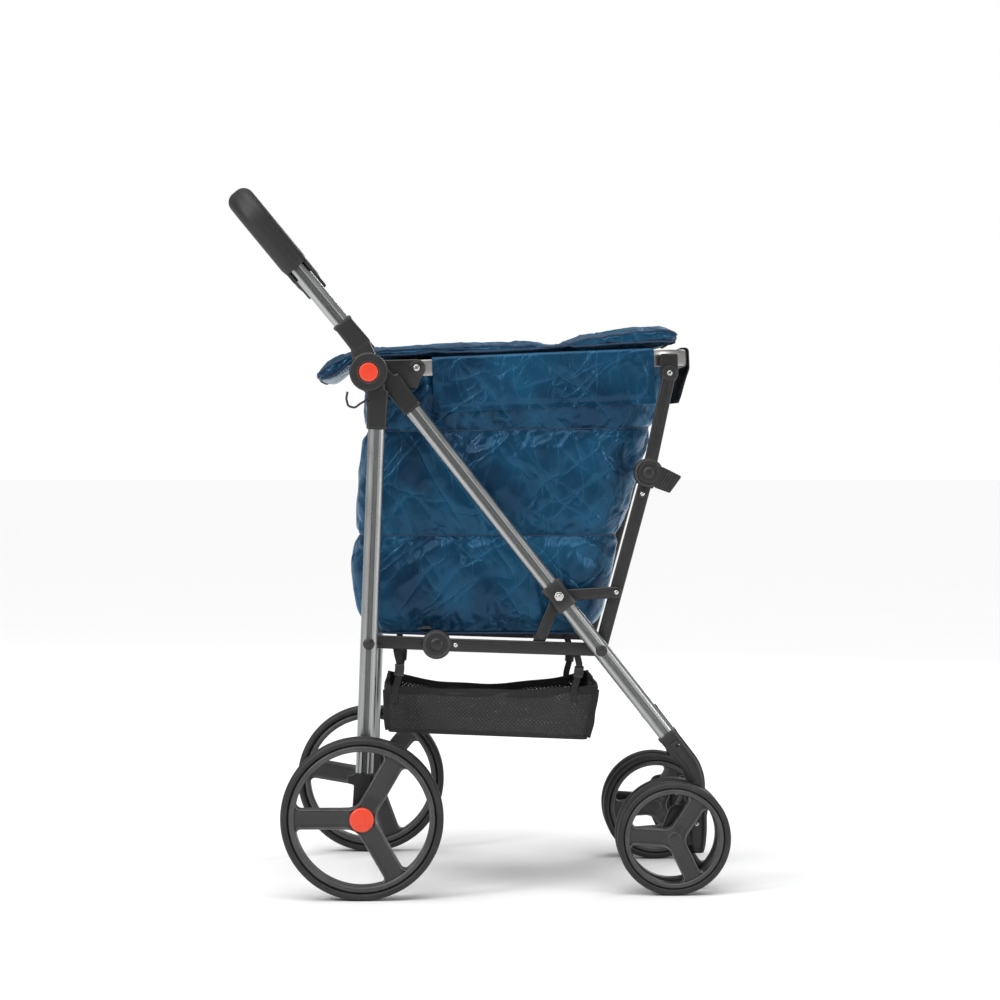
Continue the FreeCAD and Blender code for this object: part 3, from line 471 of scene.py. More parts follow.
def face_outwards(made: bpy.types.Object) -> None:
    """Merges the doubles of a mesh, drops flat faces and turns every closed shell outwards."""
    work = bmesh.new()
    work.from_mesh(made.data)
    bmesh.ops.remove_doubles(work, verts=work.verts, dist=1e-6)
    bmesh.ops.dissolve_degenerate(work, edges=work.edges, dist=1e-7)
    bmesh.ops.recalc_face_normals(work, faces=work.faces)
    work.to_mesh(made.data)
    work.free()


def settle(made: bpy.types.Object, slot: str, body: str, *stands_for: str) -> bpy.types.Object:
    """Rides a finished piece on its body and hides the nodes it stands for.

    Args:
        made: the finished piece.
        slot: the record's material slot.
        body: the CAD body it moves with.
        stands_for: the CAD nodes that it replaces.

    Returns:
        The piece.
    """
    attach(made, body)
    if stands_for:
        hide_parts(*stands_for)
    LOG.info("%s: %d faces, on %s", made.name, len(made.data.polygons), body)
    return made


def fused(
        made: bpy.types.Object, voxel: float, smooth: int, ratio: float = 1.0) -> bpy.types.Object:
    """Fuses a mesh's overlapping shells into one skin with soft inner corners.

    Args:
        made: the mesh object, changed in place.
        voxel: size of the remesh's cells.
        smooth: rounds of smoothing afterwards.
        ratio: share of the faces to keep.

    Returns:
        The object.
    """
    remesh = made.modifiers.new("fuse", "REMESH")
    remesh.mode, remesh.voxel_size, remesh.use_smooth_shade = "VOXEL", voxel, True
    soften = made.modifiers.new("soften", "SMOOTH")
    soften.iterations, soften.factor = smooth, 0.5
    if ratio < 1.0:
        thin = made.modifiers.new("thin", "DECIMATE")
        thin.ratio = ratio
    apply_modifiers(made)
    made.data.shade_smooth()
    return made


def apply_modifiers(made: bpy.types.Object) -> None:
    """Puts a piece's modifiers into its mesh."""
    graph = bpy.context.evaluated_depsgraph_get()
    result = bpy.data.meshes.new_from_object(
        made.evaluated_get(graph), preserve_all_data_layers=True, depsgraph=graph)
    made.modifiers.clear()
    made.data = result
    result.name = made.name


# ------------------------------------------------------------------ finishes

Colour = tuple[float, float, float]
Socket = bpy.types.NodeSocket
Node = bpy.types.Node
Tree = bpy.types.NodeTree


class Graph:
    """Places nodes in a tree and joins them."""

    def __init__(self, tree: Tree) -> None:
        """Works on the given tree."""
        self.tree = tree

    def node(self, kind: str, feeds: dict[str | int, object] | None = None,
             **settings: object) -> Node:
        """Adds a node, sets it up and feeds its sockets.

        Args:
            kind: the node's type.
            feeds: a value or another node's output for each named or numbered socket.
            settings: attributes of the node.

        Returns:
            The node.
        """
        made = self.tree.nodes.new(kind)
        for name, value in settings.items():
            setattr(made, name, value)
        for socket, value in (feeds or {}).items():
            self.feed(made.inputs[socket], value)
        return made

    def feed(self, socket: Socket, value: object) -> None:
        """Joins an output to a socket, or sets the socket's own value."""
        if isinstance(value, Socket):
            self.tree.links.new(value, socket)
        elif isinstance(value, tuple) and len(value) == 3 and socket.type == "RGBA":
            socket.default_value = (*value, 1.0)
        else:
            socket.default_value = value

    def maths(self, operation: str, *values: object) -> Socket:
        """Result of a Math node."""
        return self.node("ShaderNodeMath", dict(enumerate(values)), operation=operation).outputs[0]

    def plus(self, *values: object) -> Socket:
        """Sum of two values."""
        return self.maths("ADD", *values)

    def times(self, *values: object) -> Socket:
        """Product of two values."""
        return self.maths("MULTIPLY", *values)

    def between(self, share: object, low: Colour | Socket, high: Colour | Socket) -> Socket:
        """Colour mixed from low to high by the share."""
        made = self.node("ShaderNodeMix", {0: share, 6: low, 7: high}, data_type="RGBA")
        return made.outputs[2]

    def span(self, value: object, low: float, high: float, to_low: float = 0.0,
             to_high: float = 1.0) -> Socket:
        """Value carried from one range to another, and held inside it."""
        feeds = {0: value, 1: low, 2: high, 3: to_low, 4: to_high}
        return self.node("ShaderNodeMapRange", feeds, clamp=True).outputs[0]

    def noise(self, place: Socket, scale: object, detail: float = 3.0, rough: float = 0.5,
              warp: float = 0.0) -> Socket:
        """Value of a Noise texture."""
        feeds = {"Vector": place, "Scale": scale, "Detail": detail, "Roughness": rough,
                 "Distortion": warp}
        return self.node("ShaderNodeTexNoise", feeds).outputs[0]

    def stretched(self, place: Socket, turn: tuple[float, float, float],
                  scale: tuple[float, float, float]) -> Socket:
        """Places turned by a Mapping node, and then scaled by it."""
        size = tuple(1.0 / factor for factor in scale)
        return self.node("ShaderNodeMapping", {"Vector": place, "Rotation": turn, "Scale": size},
                         vector_type="TEXTURE").outputs[0]

    def bump(self, height: Socket, depth: float, under: Socket | None = None,
             strength: float = 1.0) -> Socket:
        """Normal bent by a height of the given depth in metres."""
        feeds = {"Height": height, "Distance": depth, "Strength": strength}
        if under is not None:
            feeds["Normal"] = under
        return self.node("ShaderNodeBump", feeds).outputs[0]

    def dress(self, shader: Node, sockets: dict[str, object]) -> None:
        """Feeds the shader's named sockets."""
        for name, value in sockets.items():
            self.feed(shader.inputs[name], value)

    def effect(self, group: Tree, **feeds: object) -> Node:
        """Places a shared effect and feeds its named inputs."""
        made = self.node("ShaderNodeGroup", node_tree=group)
        self.dress(made, feeds)
        return made


EFFECTS: dict[str, Tree] = {}


def effect(name: str, takes: dict[str, str], gives: tuple[str, ...],
           build: Callable[[Graph, Node], dict[str, Socket]]) -> Tree:
    """Shared effect as a node group, made once.

    Args:
        name: the group's name.
        takes: Vector or Float for each named input.
        gives: names of its outputs, each a value.
        build: places the nodes and returns a socket for each output.

    Returns:
        The group.
    """
    if name not in EFFECTS:
        group = bpy.data.node_groups.new(name, "ShaderNodeTree")
        for socket, kind in takes.items():
            group.interface.new_socket(socket, in_out="INPUT", socket_type=f"NodeSocket{kind}")
        for socket in gives:
            group.interface.new_socket(socket, in_out="OUTPUT", socket_type="NodeSocketFloat")
        graph = Graph(group)
        results = build(graph, graph.node("NodeGroupInput"))
        end = graph.node("NodeGroupOutput")
        for socket in gives:
            graph.feed(end.inputs[socket], results[socket])
        EFFECTS[name] = group
    return EFFECTS[name]


def grain() -> Tree:
    """Spark-eroded grain of moulded plastic: fine noise over small pits."""
    def build(g: Graph, start: Node) -> dict[str, Socket]:
        fine = g.noise(start.outputs["Place"], start.outputs["Scale"], 4.0, 0.6)
        pits = g.node(
            "ShaderNodeTexVoronoi",
            {"Vector": start.outputs["Place"], "Scale": start.outputs["Scale"]}).outputs[0]
        return {"Height": g.plus(g.times(fine, 0.6), g.times(pits, 0.4)), "Tone": fine}
    return effect("grain", {"Place": "Vector", "Scale": "Float"}, ("Height", "Tone"), build)


def handling() -> Tree:
    """Masks of wear and curvature: sharp edges from the surface's curvature, faint scuffs and dust;
    on moulded plastic the edge mask also paints a highlight along ridges.
    """
    def build(g: Graph, start: Node) -> dict[str, Socket]:
        place = start.outputs["Place"]
        shape = g.node("ShaderNodeNewGeometry")
        patchy = g.noise(place, 38.0, 4.0, 0.65)
        # Sharp edges by curvature: wear, and on moulded plastic a painted highlight along ridges.
        edge = g.span(g.plus(shape.outputs["Pointiness"], g.times(patchy, 0.05)), 0.545, 0.61)
        streak = g.noise(
            g.stretched(place, (0.4, 0.9, 0.2), (14.0, 90.0, 14.0)), 5.0, 3.0, 0.7, 0.6)
        scuff = g.times(g.span(streak, 0.6, 0.74), g.span(patchy, 0.45, 0.7))
        up = g.node("ShaderNodeSeparateXYZ", {0: shape.outputs["Normal"]}).outputs[2]
        dust = g.times(g.span(up, 0.1, 1.0, 0.12, 1.0), g.span(patchy, 0.35, 0.75))
        return {"Edge": edge, "Scuff": scuff, "Dust": dust}
    return effect("handling", {"Place": "Vector"}, ("Edge", "Scuff", "Dust"), build)


def weave() -> Tree:
    """Plain weave: two sets of round threads that pass over and under each other.

    Each thread is the size of a sine across it, and the sign of the product of the two
    sines says which set is on top.
    """
    def build(g: Graph, start: Node) -> dict[str, Socket]:
        place = g.node("ShaderNodeSeparateXYZ", {0: start.outputs["Place"]})
        turn = g.times(start.outputs["Threads"], math.pi)
        one = g.maths("SINE", g.times(place.outputs[0], turn))
        two = g.maths("SINE", g.times(place.outputs[1], turn))
        over = g.span(g.times(one, two), -0.15, 0.15)
        first, second = g.maths("ABSOLUTE", one), g.maths("ABSOLUTE", two)
        height = g.plus(g.times(first, over), g.times(second, g.maths("SUBTRACT", 1.0, over)))
        return {"Height": height, "Over": over}
    return effect("weave", {"Place": "Vector", "Threads": "Float"}, ("Height", "Over"), build)


def creases() -> Tree:
    """Creases of thin coated cloth: ridges of three stretched and bent noises."""
    def build(g: Graph, start: Node) -> dict[str, Socket]:
        place, total = start.outputs["Place"], None
        for turn, scale, share in (
                (0.9, (4.0, 6.0, 15.0), 1.0), (-0.7, (6.0, 8.0, 20.0), 0.7),
                (1.5, (9.0, 14.0, 34.0), 0.4)):
            value = g.noise(g.stretched(place, (0.0, turn, 0.0), scale), 1.0, 2.0, 0.4, 0.7)
            ridge = g.maths("ABSOLUTE", g.maths("SUBTRACT", value, 0.5))
            ridge = g.times(g.maths("SQRT", ridge), share)
            total = ridge if total is None else g.plus(total, ridge)
        broad = g.noise(place, 7.0, 2.0, 0.5)
        return {"Height": total, "Broad": broad}
    return effect("creases", {"Place": "Vector"}, ("Height", "Broad"), build)


def drawn_lines() -> Tree:
    """Die lines of extruded metal: noise pulled out along the tube."""
    def build(g: Graph, start: Node) -> dict[str, Socket]:
        lines = g.noise(
            g.stretched(start.outputs["Place"], (0.0, 0.0, 0.0), (4.0, 2600.0, 1.0)), 1.0, 4.0, 0.7)
        blotch = g.noise(
            g.stretched(start.outputs["Place"], (0.0, 0.0, 0.0), (22.0, 90.0, 1.0)), 1.0, 3.0, 0.6)
        return {"Height": lines, "Blotch": blotch}
    return effect("drawn_lines", {"Place": "Vector"}, ("Height", "Blotch"), build)


@dataclass(frozen=True)
class Finish:
    """A material's name, the record's slot it belongs to, and its base colour."""

    name: str
    slot: str
    colour: Colour

    def material(self) -> bpy.types.Material:
        """The material, made the first time it is asked for."""
        made = bpy.data.materials.get(self.name)
        if made is None:
            made = bpy.data.materials.new(self.name)
            made.use_nodes = True
            graph = Graph(made.node_tree)
            shader = made.node_tree.nodes["Principled BSDF"]
            made.diffuse_color = (*self.colour, 1.0)
            self.dress(graph, shader, graph.node("ShaderNodeTexCoord"))
        return made

    def dress(self, g: Graph, shader: Node, places: Node) -> None:
        """Joins the finish's nodes to the shader."""
        raise NotImplementedError

    def shade(self, factor: float) -> Colour:
        """The base colour, lighter or darker."""
        return tuple(channel * factor for channel in self.colour)


@dataclass(frozen=True)
class Moulded(Finish):
    """Injection-moulded plastic with a grained skin, paler at its edges: partly wear, partly a
    painted highlight along ridges.
    """

    rough: float = 0.45
    grain_scale: float = 1400.0
    grain_depth: float = 0.00006
    # Colour that edges turn to: wear, and painted highlight.
    pale_tone: Colour = (0.06, 0.06, 0.06)
    dusty: float = 0.3

    def dress(self, g: Graph, shader: Node, places: Node) -> None:
        """Base colour by grain, pale edges as wear and painted highlight, and dust; roughness by the
        same masks.
        """
        place = places.outputs["Object"]
        skin = g.effect(grain(), Place=place, Scale=self.grain_scale)
        use = g.effect(handling(), Place=place)
        base = g.between(skin.outputs["Tone"], self.shade(0.8), self.shade(1.2))
        # Edges turn to the pale edge colour: wear, and a painted highlight on ridges and lips.
        base = g.between(g.times(use.outputs["Edge"], 0.8), base, self.pale_tone)
        base = g.between(g.times(use.outputs["Dust"], 0.12 * self.dusty), base, (0.32, 0.30, 0.27))
        rough = g.span(skin.outputs["Tone"], 0.2, 0.8, self.rough - 0.08, self.rough + 0.1)
        rough = g.plus(rough, g.times(use.outputs["Scuff"], 0.16))
        g.dress(shader, {"Base Color": base, "Roughness": rough,
                         "Normal": g.bump(skin.outputs["Height"], self.grain_depth)})


@dataclass(frozen=True)
class Extruded(Finish):
    """Extruded aluminium, bright with die lines along the tube."""

    rough: float = 0.24
    ribs: bool = False

    def dress(self, g: Graph, shader: Node, places: Node) -> None:
        """Die lines in the tone, roughness and normal, on the tube's own places."""
        lines = g.effect(drawn_lines(), Place=places.outputs["UV"])
        use = g.effect(handling(), Place=places.outputs["Object"])
        low, high = (0.42, 1.15) if self.ribs else (0.82, 1.06)
        base = g.between(
            g.span(lines.outputs["Height"], 0.3, 0.7), self.shade(low), self.shade(high))
        base = g.between(g.times(use.outputs["Scuff"], 0.35), base, self.shade(0.5))
        rough = g.span(lines.outputs["Blotch"], 0.25, 0.75, self.rough - 0.06, self.rough + 0.14)
        rough = g.plus(rough, g.times(use.outputs["Scuff"], 0.2))
        g.dress(shader, {"Base Color": base, "Roughness": rough, "Metallic": 1.0,
                         "Normal": g.bump(lines.outputs["Height"], 0.00006)})


@dataclass(frozen=True)
class Coated(Finish):
    """Powder-coated steel: orange peel, chipped pale at its edges."""

    rough: float = 0.38

    def dress(self, g: Graph, shader: Node, places: Node) -> None:
        """Peel in the normal, chips where the edges wear."""
        place = places.outputs["Object"]
        peel = g.noise(place, 700.0, 2.0, 0.5)
        use = g.effect(handling(), Place=place)
        tone = g.noise(place, 60.0, 3.0, 0.6)
        base = g.between(tone, self.shade(0.75), self.shade(1.3))
        base = g.between(g.times(use.outputs["Edge"], 0.6), base, (0.07, 0.07, 0.07))
        base = g.between(g.times(use.outputs["Dust"], 0.05), base, (0.3, 0.28, 0.25))
        rough = g.plus(g.span(tone, 0.3, 0.7, self.rough - 0.07, self.rough + 0.1),
                       g.times(use.outputs["Scuff"], 0.2))
        g.dress(shader, {"Base Color": base, "Roughness": rough, "Normal": g.bump(peel, 0.00008)})


@dataclass(frozen=True)
class Plated(Finish):
    """Zinc-plated steel of rivets, screws and axles."""

    rough: float = 0.26

    def dress(self, g: Graph, shader: Node, places: Node) -> None:
        """Cloudy plating over turned metal."""
        place = places.outputs["Object"]
        cloud = g.noise(place, 260.0, 4.0, 0.6)
        use = g.effect(handling(), Place=place)
        base = g.between(cloud, self.shade(0.72), self.shade(1.1))
        g.dress(shader, {
            "Base Color": g.between(g.times(use.outputs["Dust"], 0.2), base, (0.25, 0.23, 0.2)),
            "Roughness": g.span(cloud, 0.3, 0.7, self.rough - 0.08, self.rough + 0.14),
            "Metallic": 1.0,
            "Normal": g.bump(cloud, 0.00004)})


@dataclass(frozen=True)
class Rubber(Finish):
    """Solid tyre rubber: matt, dusty on the tread."""

    def dress(self, g: Graph, shader: Node, places: Node) -> None:
        """Dull skin with dust and fine pits."""
        place = places.outputs["Object"]
        skin = g.effect(grain(), Place=place, Scale=900.0)
        use = g.effect(handling(), Place=place)
        smear = g.noise(place, 26.0, 4.0, 0.65)
        base = g.between(skin.outputs["Tone"], self.shade(0.7), self.shade(1.3))
        base = g.between(g.span(smear, 0.5, 0.8, 0.0, 0.16), base, (0.16, 0.15, 0.14))
        g.dress(shader, {
            "Base Color": base,
            "Roughness": g.plus(g.span(smear, 0.3, 0.7, 0.5, 0.66),
                                g.times(use.outputs["Scuff"], 0.1)),
            "Normal": g.bump(skin.outputs["Height"], 0.00008)})


@dataclass(frozen=True)
class Glossy(Finish):
    """Polished moulded plastic of the caps and buttons."""

    def dress(self, g: Graph, shader: Node, places: Node) -> None:
        """Saturated colour with faint hairline scratches."""
        place = places.outputs["Object"]
        tone = g.noise(place, 120.0, 3.0, 0.55)
        use = g.effect(handling(), Place=place)
        base = g.between(tone, self.shade(0.86), self.shade(1.1))
        g.dress(shader, {
            "Base Color": g.between(g.times(use.outputs["Edge"], 0.25), base, (0.9, 0.25, 0.16)),
            "Roughness": g.plus(g.span(tone, 0.3, 0.7, 0.26, 0.38),
                                g.times(use.outputs["Scuff"], 0.2)),
            "Normal": g.bump(g.noise(place, 800.0, 2.0), 0.00002)})


@dataclass(frozen=True)
class Grip(Finish):
    """Soft-touch grip: fine pebbled rubber, greyer where hands hold it."""

    def dress(self, g: Graph, shader: Node, places: Node) -> None:
        """Pebbles in the normal, hand wear in tone and gloss."""
        place = places.outputs["Object"]
        skin = g.effect(grain(), Place=place, Scale=1900.0)
        pale_tone = g.noise(place, 16.0, 3.0, 0.6)
        base = g.between(skin.outputs["Tone"], self.shade(0.75), self.shade(1.25))
        base = g.between(g.span(pale_tone, 0.45, 0.75, 0.0, 0.25), base, self.shade(2.0))
        g.dress(shader, {"Base Color": base, "Roughness": g.span(pale_tone, 0.3, 0.7, 0.6, 0.44),
                         "Normal": g.bump(skin.outputs["Height"], 0.00012)})


@dataclass(frozen=True)
class Nylon(Finish):
    """Coated ripstop nylon: shiny, tightly woven, covered in small creases."""

    # Lighter blue that the broad patches turn to: painted highlight.
    light: Colour = (0.02, 0.16, 0.32)
    crease: float = 0.006
    threads: float = 2600.0

    def dress(self, g: Graph, shader: Node, places: Node) -> None:
        """Colour between deep and light by broad patches and creases, which also bend the normal;
        the lighter patches are painted highlight and the darker creases painted shade.
        """
        place = places.outputs["Object"]
        folds = g.effect(creases(), Place=place)
        cloth = g.effect(weave(), Place=place, Threads=self.threads)
        # Painted light: broad patches lighten as painted highlight, crease ridges darken as painted
        # shade.
        tone = g.plus(g.span(folds.outputs["Broad"], 0.4, 0.65, 0.0, 0.55),
                      g.span(folds.outputs["Height"], 0.3, 0.8, 0.3, -0.15))
        base = g.between(tone, self.colour, self.light)
        base = g.between(g.times(cloth.outputs["Over"], 0.12), base, self.shade(0.6))
        bent = g.bump(folds.outputs["Height"], self.crease, None, 0.8)
        g.dress(
            shader,
            {"Base Color": base, "Roughness": g.span(folds.outputs["Broad"], 0.3, 0.7, 0.22, 0.36),
             "Metallic": 0.35, "Specular Tint": (0.55, 0.8, 1.0), "Sheen Weight": 0.15,
             "Sheen Tint": (0.3, 0.6, 1.0),
             "Normal": g.bump(cloth.outputs["Height"], 0.00003, bent)})


@dataclass(frozen=True)
class Cloth(Finish):
    """Woven cloth or webbing on the piece's own places."""

    threads: float = 1100.0
    rough: float = 0.75
    depth: float = 0.0002

    def dress(self, g: Graph, shader: Node, places: Node) -> None:
        """Threads in tone and normal, lint in the colour."""
        cloth = g.effect(weave(), Place=places.outputs["UV"], Threads=self.threads)
        lint = g.noise(places.outputs["Object"], 420.0, 3.0, 0.7)
        base = g.between(cloth.outputs["Over"], self.shade(0.7), self.shade(1.3))
        base = g.between(g.span(lint, 0.62, 0.8, 0.0, 0.22), base, self.shade(4.0))
        g.dress(shader, {
            "Base Color": base,
            "Roughness": g.span(lint, 0.3, 0.7, self.rough - 0.06, self.rough + 0.1),
            "Sheen Weight": 0.06,
            "Normal": g.bump(cloth.outputs["Height"], self.depth)})


@dataclass(frozen=True)
class Net(Finish):
    """Knitted mesh: staggered round holes through a black net."""

    cell: float = 5.6 * MM
    hole: float = 0.17

    def dress(self, g: Graph, shader: Node, places: Node) -> None:
        """Holes in the alpha: the nearest of two sets of staggered cell middles."""
        place = g.node("ShaderNodeSeparateXYZ", {0: places.outputs["UV"]})
        nearest = None
        for shift in (0.0, 0.5):
            parts = [g.maths("SUBTRACT", g.maths("FRACT", g.plus(g.maths(
                "DIVIDE", place.outputs[axis], size), shift)), 0.5)
                for axis, size in ((0, self.cell), (1, self.cell * 1.25))]
            gap = g.maths(
                "SQRT", g.plus(g.maths("POWER", parts[0], 2.0), g.maths("POWER", parts[1], 2.0)))
            nearest = gap if nearest is None else g.maths("MINIMUM", nearest, gap)
        thread = g.span(nearest, self.hole - 0.03, self.hole + 0.03)
        lint = g.noise(places.outputs["Object"], 900.0, 2.0)
        base = g.between(lint, self.shade(0.6), self.shade(1.8))
        # Grey round each hole where the net stays opaque: painted light, standing in for light seen
        # through the holes.
        base = g.between(
            g.span(nearest, self.hole, self.hole + 0.12, 0.8, 0.0), base, (0.075, 0.075, 0.075))
        g.dress(shader, {"Base Color": base, "Roughness": g.span(lint, 0.3, 0.7, 0.55, 0.75),
                         "Normal": g.bump(nearest, 0.0004), "Alpha": thread})


ALUMINIUM = Extruded("aluminium_extrusion", "aluminium_tube", (0.40, 0.41, 0.41), 0.28)
CHANNEL = Extruded("aluminium_ribbed_channel", "aluminium_tube", (0.20, 0.205, 0.205), 0.38, True)
BAND = Extruded("brushed_aluminium_band", "aluminium_tube", (0.42, 0.41, 0.40), 0.34)
PLASTIC = Moulded("black_moulded_nylon", "black_plastic", (0.0085, 0.008, 0.008), 0.42)
# Rim plastic whose paler edge colour lightens spoke ridges and band lips: painted highlight as well
# as wear.
RIM_GREY = Moulded(
    "graphite_rim_plastic", "grey_plastic", (0.021, 0.021, 0.0215), 0.38, 1100.0,
    pale_tone=(0.14, 0.14, 0.14))
STEEL_BLACK = Coated("black_powder_coat", "black_metal", (0.009, 0.0085, 0.0085))
ZINC = Plated("zinc_plated_steel", "steel_pin", (0.62, 0.62, 0.6))
TYRE = Rubber("black_tyre_rubber", "tyre_rubber", (0.008, 0.008, 0.008))
RED = Glossy("red_gloss_plastic", "red_plastic", (0.70, 0.045, 0.014))
SOFT_GRIP = Grip("soft_touch_grip", "soft_grip", (0.008, 0.008, 0.008))
BLUE = Nylon("blue_shiny_nylon", "blue_nylon", (0.001, 0.022, 0.06), (0.006, 0.085, 0.17))
# Darker copy of the blue nylon: painted shade on the lid's underside and on the bag's inside and
# floor.
BLUE_SHADED = Nylon("blue_nylon_lining", "blue_nylon", (0.002, 0.012, 0.035), (0.006, 0.04, 0.09))
PIPING = Cloth("dark_blue_piping", "blue_nylon", (0.004, 0.03, 0.075), 900.0, 0.55)
BLACK_CLOTH = Cloth("black_lining_cloth", "black_cloth", (0.007, 0.007, 0.0075), 900.0)
WEBBING = Cloth("black_webbing", "black_cloth", (0.009, 0.009, 0.009), 620.0, 0.7, 0.0003)
NET = Net("black_knitted_net", "black_mesh", (0.008, 0.008, 0.008))
BOARD = Moulded("black_base_board", "board", (0.02, 0.02, 0.02), 0.6, 300.0)


# ------------------------------------------------------------------ tubes and frames

LINK_TOP = np.array([HUB[0] + 410.4 * MM, 710.8 * MM])
X_AXIS = np.array([1.0, 0.0, 0.0])
Z_AXIS = np.array([0.0, 0.0, 1.0])
Y_AXIS = np.array([0.0, 1.0, 0.0])


def screw_head(shell: Shell, centre: np.ndarray, y: float, side: float, radius: float = 4.2 * MM,
               slot: int = 1) -> None:
    """Adds a pan head on a washer, with a cross of two sunk slots shown as ridged quarters.

    Args:
        shell: what it is added to.
        centre: X and Z.
        y: face that it sits on.
        side: the way it faces.
        radius: radius of the head.
        slot: material slot.
    """
    shell.dome(centre, y, side, radius * 1.5, 0.4 * MM, 0.5 * MM, slot=0)
    shell.dome(centre, y + side * 0.8 * MM, side, radius, 1.2 * MM, 0.6 * MM, slot=slot)
    for turn in (0.6, 0.6 + math.pi / 2):
        run = radius * 0.55 * np.array([math.cos(turn), math.sin(turn)])
        outline = disc_hull([(*(centre - run), 0.45 * MM), (*(centre + run), 0.45 * MM)], 16)
        shell.slab(outline, y + side * 2.55 * MM, 0.5 * MM, 0.1 * MM, 2, slot=0)


@dataclass
class Tube:
    """One ribbed oval leg, between its socket and its foot."""

    node: str
    arm: Arm
    y: float
    body: str
    recess: float = 1.1 * MM

    def section(self) -> tuple[np.ndarray, np.ndarray]:
        """The section, and for each of its faces whether it lies in a ribbed channel."""
        ring = oval_section(TUBE_WIDE, TUBE_DEEP, self.recess)
        middle = (ring + np.roll(ring, -1, 0)) / 2
        channel = (np.abs(middle[:, 0]) < 0.33 * TUBE_WIDE / 2) | (
            np.abs(middle[:, 1]) < TUBE_DEEP / 2
            - 0.35 * self.recess) & (np.abs(middle[:, 0]) < 0.9 * (TUBE_WIDE - TUBE_DEEP) / 2)
        return ring, channel.astype(int)

    def build(self) -> None:
        """Sweeps the section down the leg."""
        start, end = self.arm.reach_of(self.node)
        steps = np.linspace(start, end, 9)
        path = upright(np.stack([self.arm.at(reach) for reach in steps]), self.y)
        ring, channel = self.section()
        wide = np.array([self.arm.across[0], 0.0, self.arm.across[1]])
        Shell().sweep(path, ring, wide, channel).piece(
            f"{self.node}_tube", [ALUMINIUM, CHANNEL], self.body, self.node, sharp=60)


@dataclass
class Moulding:
    """A moulded plastic root or foot, fused from slabs along an arm."""

    name: str
    node: str
    arm: Arm
    y: float
    side: float
    body: str
    half: float = TUBE_WIDE / 2 + 1.5 * MM
    deep: float = TUBE_DEEP + 1.2 * MM
    edge: float = 3.5 * MM
    voxel: float = 1.1 * MM

    def box(self, shell: Shell, start: float, end: float, half_start: float, half_end: float,
            corner: float = 3.0 * MM, deep: float | None = None) -> None:
        """Adds a tapered slab between two reaches of the arm."""
        discs = [
            (*self.arm.at(reach, sign * (half - corner)), corner) for reach,
            half in ((start + corner, half_start), (end - corner, half_end)) for sign in (-1, 1)]
        shell.slab(disc_hull(discs), self.y, deep or self.deep, self.edge)

    def root(self, eye: float, end: float) -> None:
        """Builds a root: an eye on the hub, narrowing to a box on the tube's end."""
        shell = Shell()
        shell.slab(disc_hull([(*HUB, eye), (*self.arm.at(0.4 * end), 0.8 * self.half)]), self.y,
                   self.deep, self.edge)
        self.box(shell, 0.3 * end, end, self.half + 1.5 * MM, self.half)
        self.box(shell, end - 5 * MM, end, self.half + 0.9 * MM, self.half + 0.9 * MM, 2 * MM,
                 self.deep + 1.4 * MM)
        fused(shell.mesh(self.name, [PLASTIC]), self.voxel, 4)
        settle(bpy.data.objects[self.name], PLASTIC.slot, self.body, self.node)

    def foot(self, start: float) -> None:
        """Builds the rear foot: box, axle boss, and the step behind it."""
        shell = Shell()
        boss = 16 * MM
        axle = float(np.dot(REAR_AXLE - self.arm.start, self.arm.along))
        self.box(shell, start, axle, self.half, self.half + 1.5 * MM)
        self.box(shell, start, start + 5 * MM, self.half + 0.9 * MM, self.half + 0.9 * MM, 2 * MM,
                 self.deep + 1.4 * MM)
        shell.slab(disc_hull([(*REAR_AXLE, boss)]), self.y, self.deep, self.edge)
        shell.slab(
            disc_hull([(*REAR_AXLE, boss - 3 * MM)]), self.y + self.side * 11 * MM, 23 * MM, 1 * MM)
        step = [(*self.arm.at(start + reach, -aside * MM), 2 * MM) for reach,
                aside in ((6 * MM, 10), (6 * MM, 20.5), (13 * MM, 20.5), (15 * MM, 10))]
        shell.slab(disc_hull(step), self.y, self.deep - 2 * MM, 1.5 * MM)
        fused(shell.mesh(self.name, [PLASTIC]), self.voxel, 4)
        settle(bpy.data.objects[self.name], PLASTIC.slot, self.body, self.node)


def carve(made: bpy.types.Object, cutter: Shell) -> None:
    """Cuts a closed shell out of a mesh object.

    Args:
        made: the object, changed in place.
        cutter: the shell to take away.
    """
    tool = cutter.mesh(f"{made.name}_cutter", [PLASTIC])
    cut = made.modifiers.new("cut", "BOOLEAN")
    cut.operation, cut.object, cut.solver = "DIFFERENCE", tool, "EXACT"
    apply_modifiers(made)
    bpy.data.objects.remove(tool)
    made.data.shade_smooth()
    made.data.set_sharp_from_angle(angle=math.radians(40))


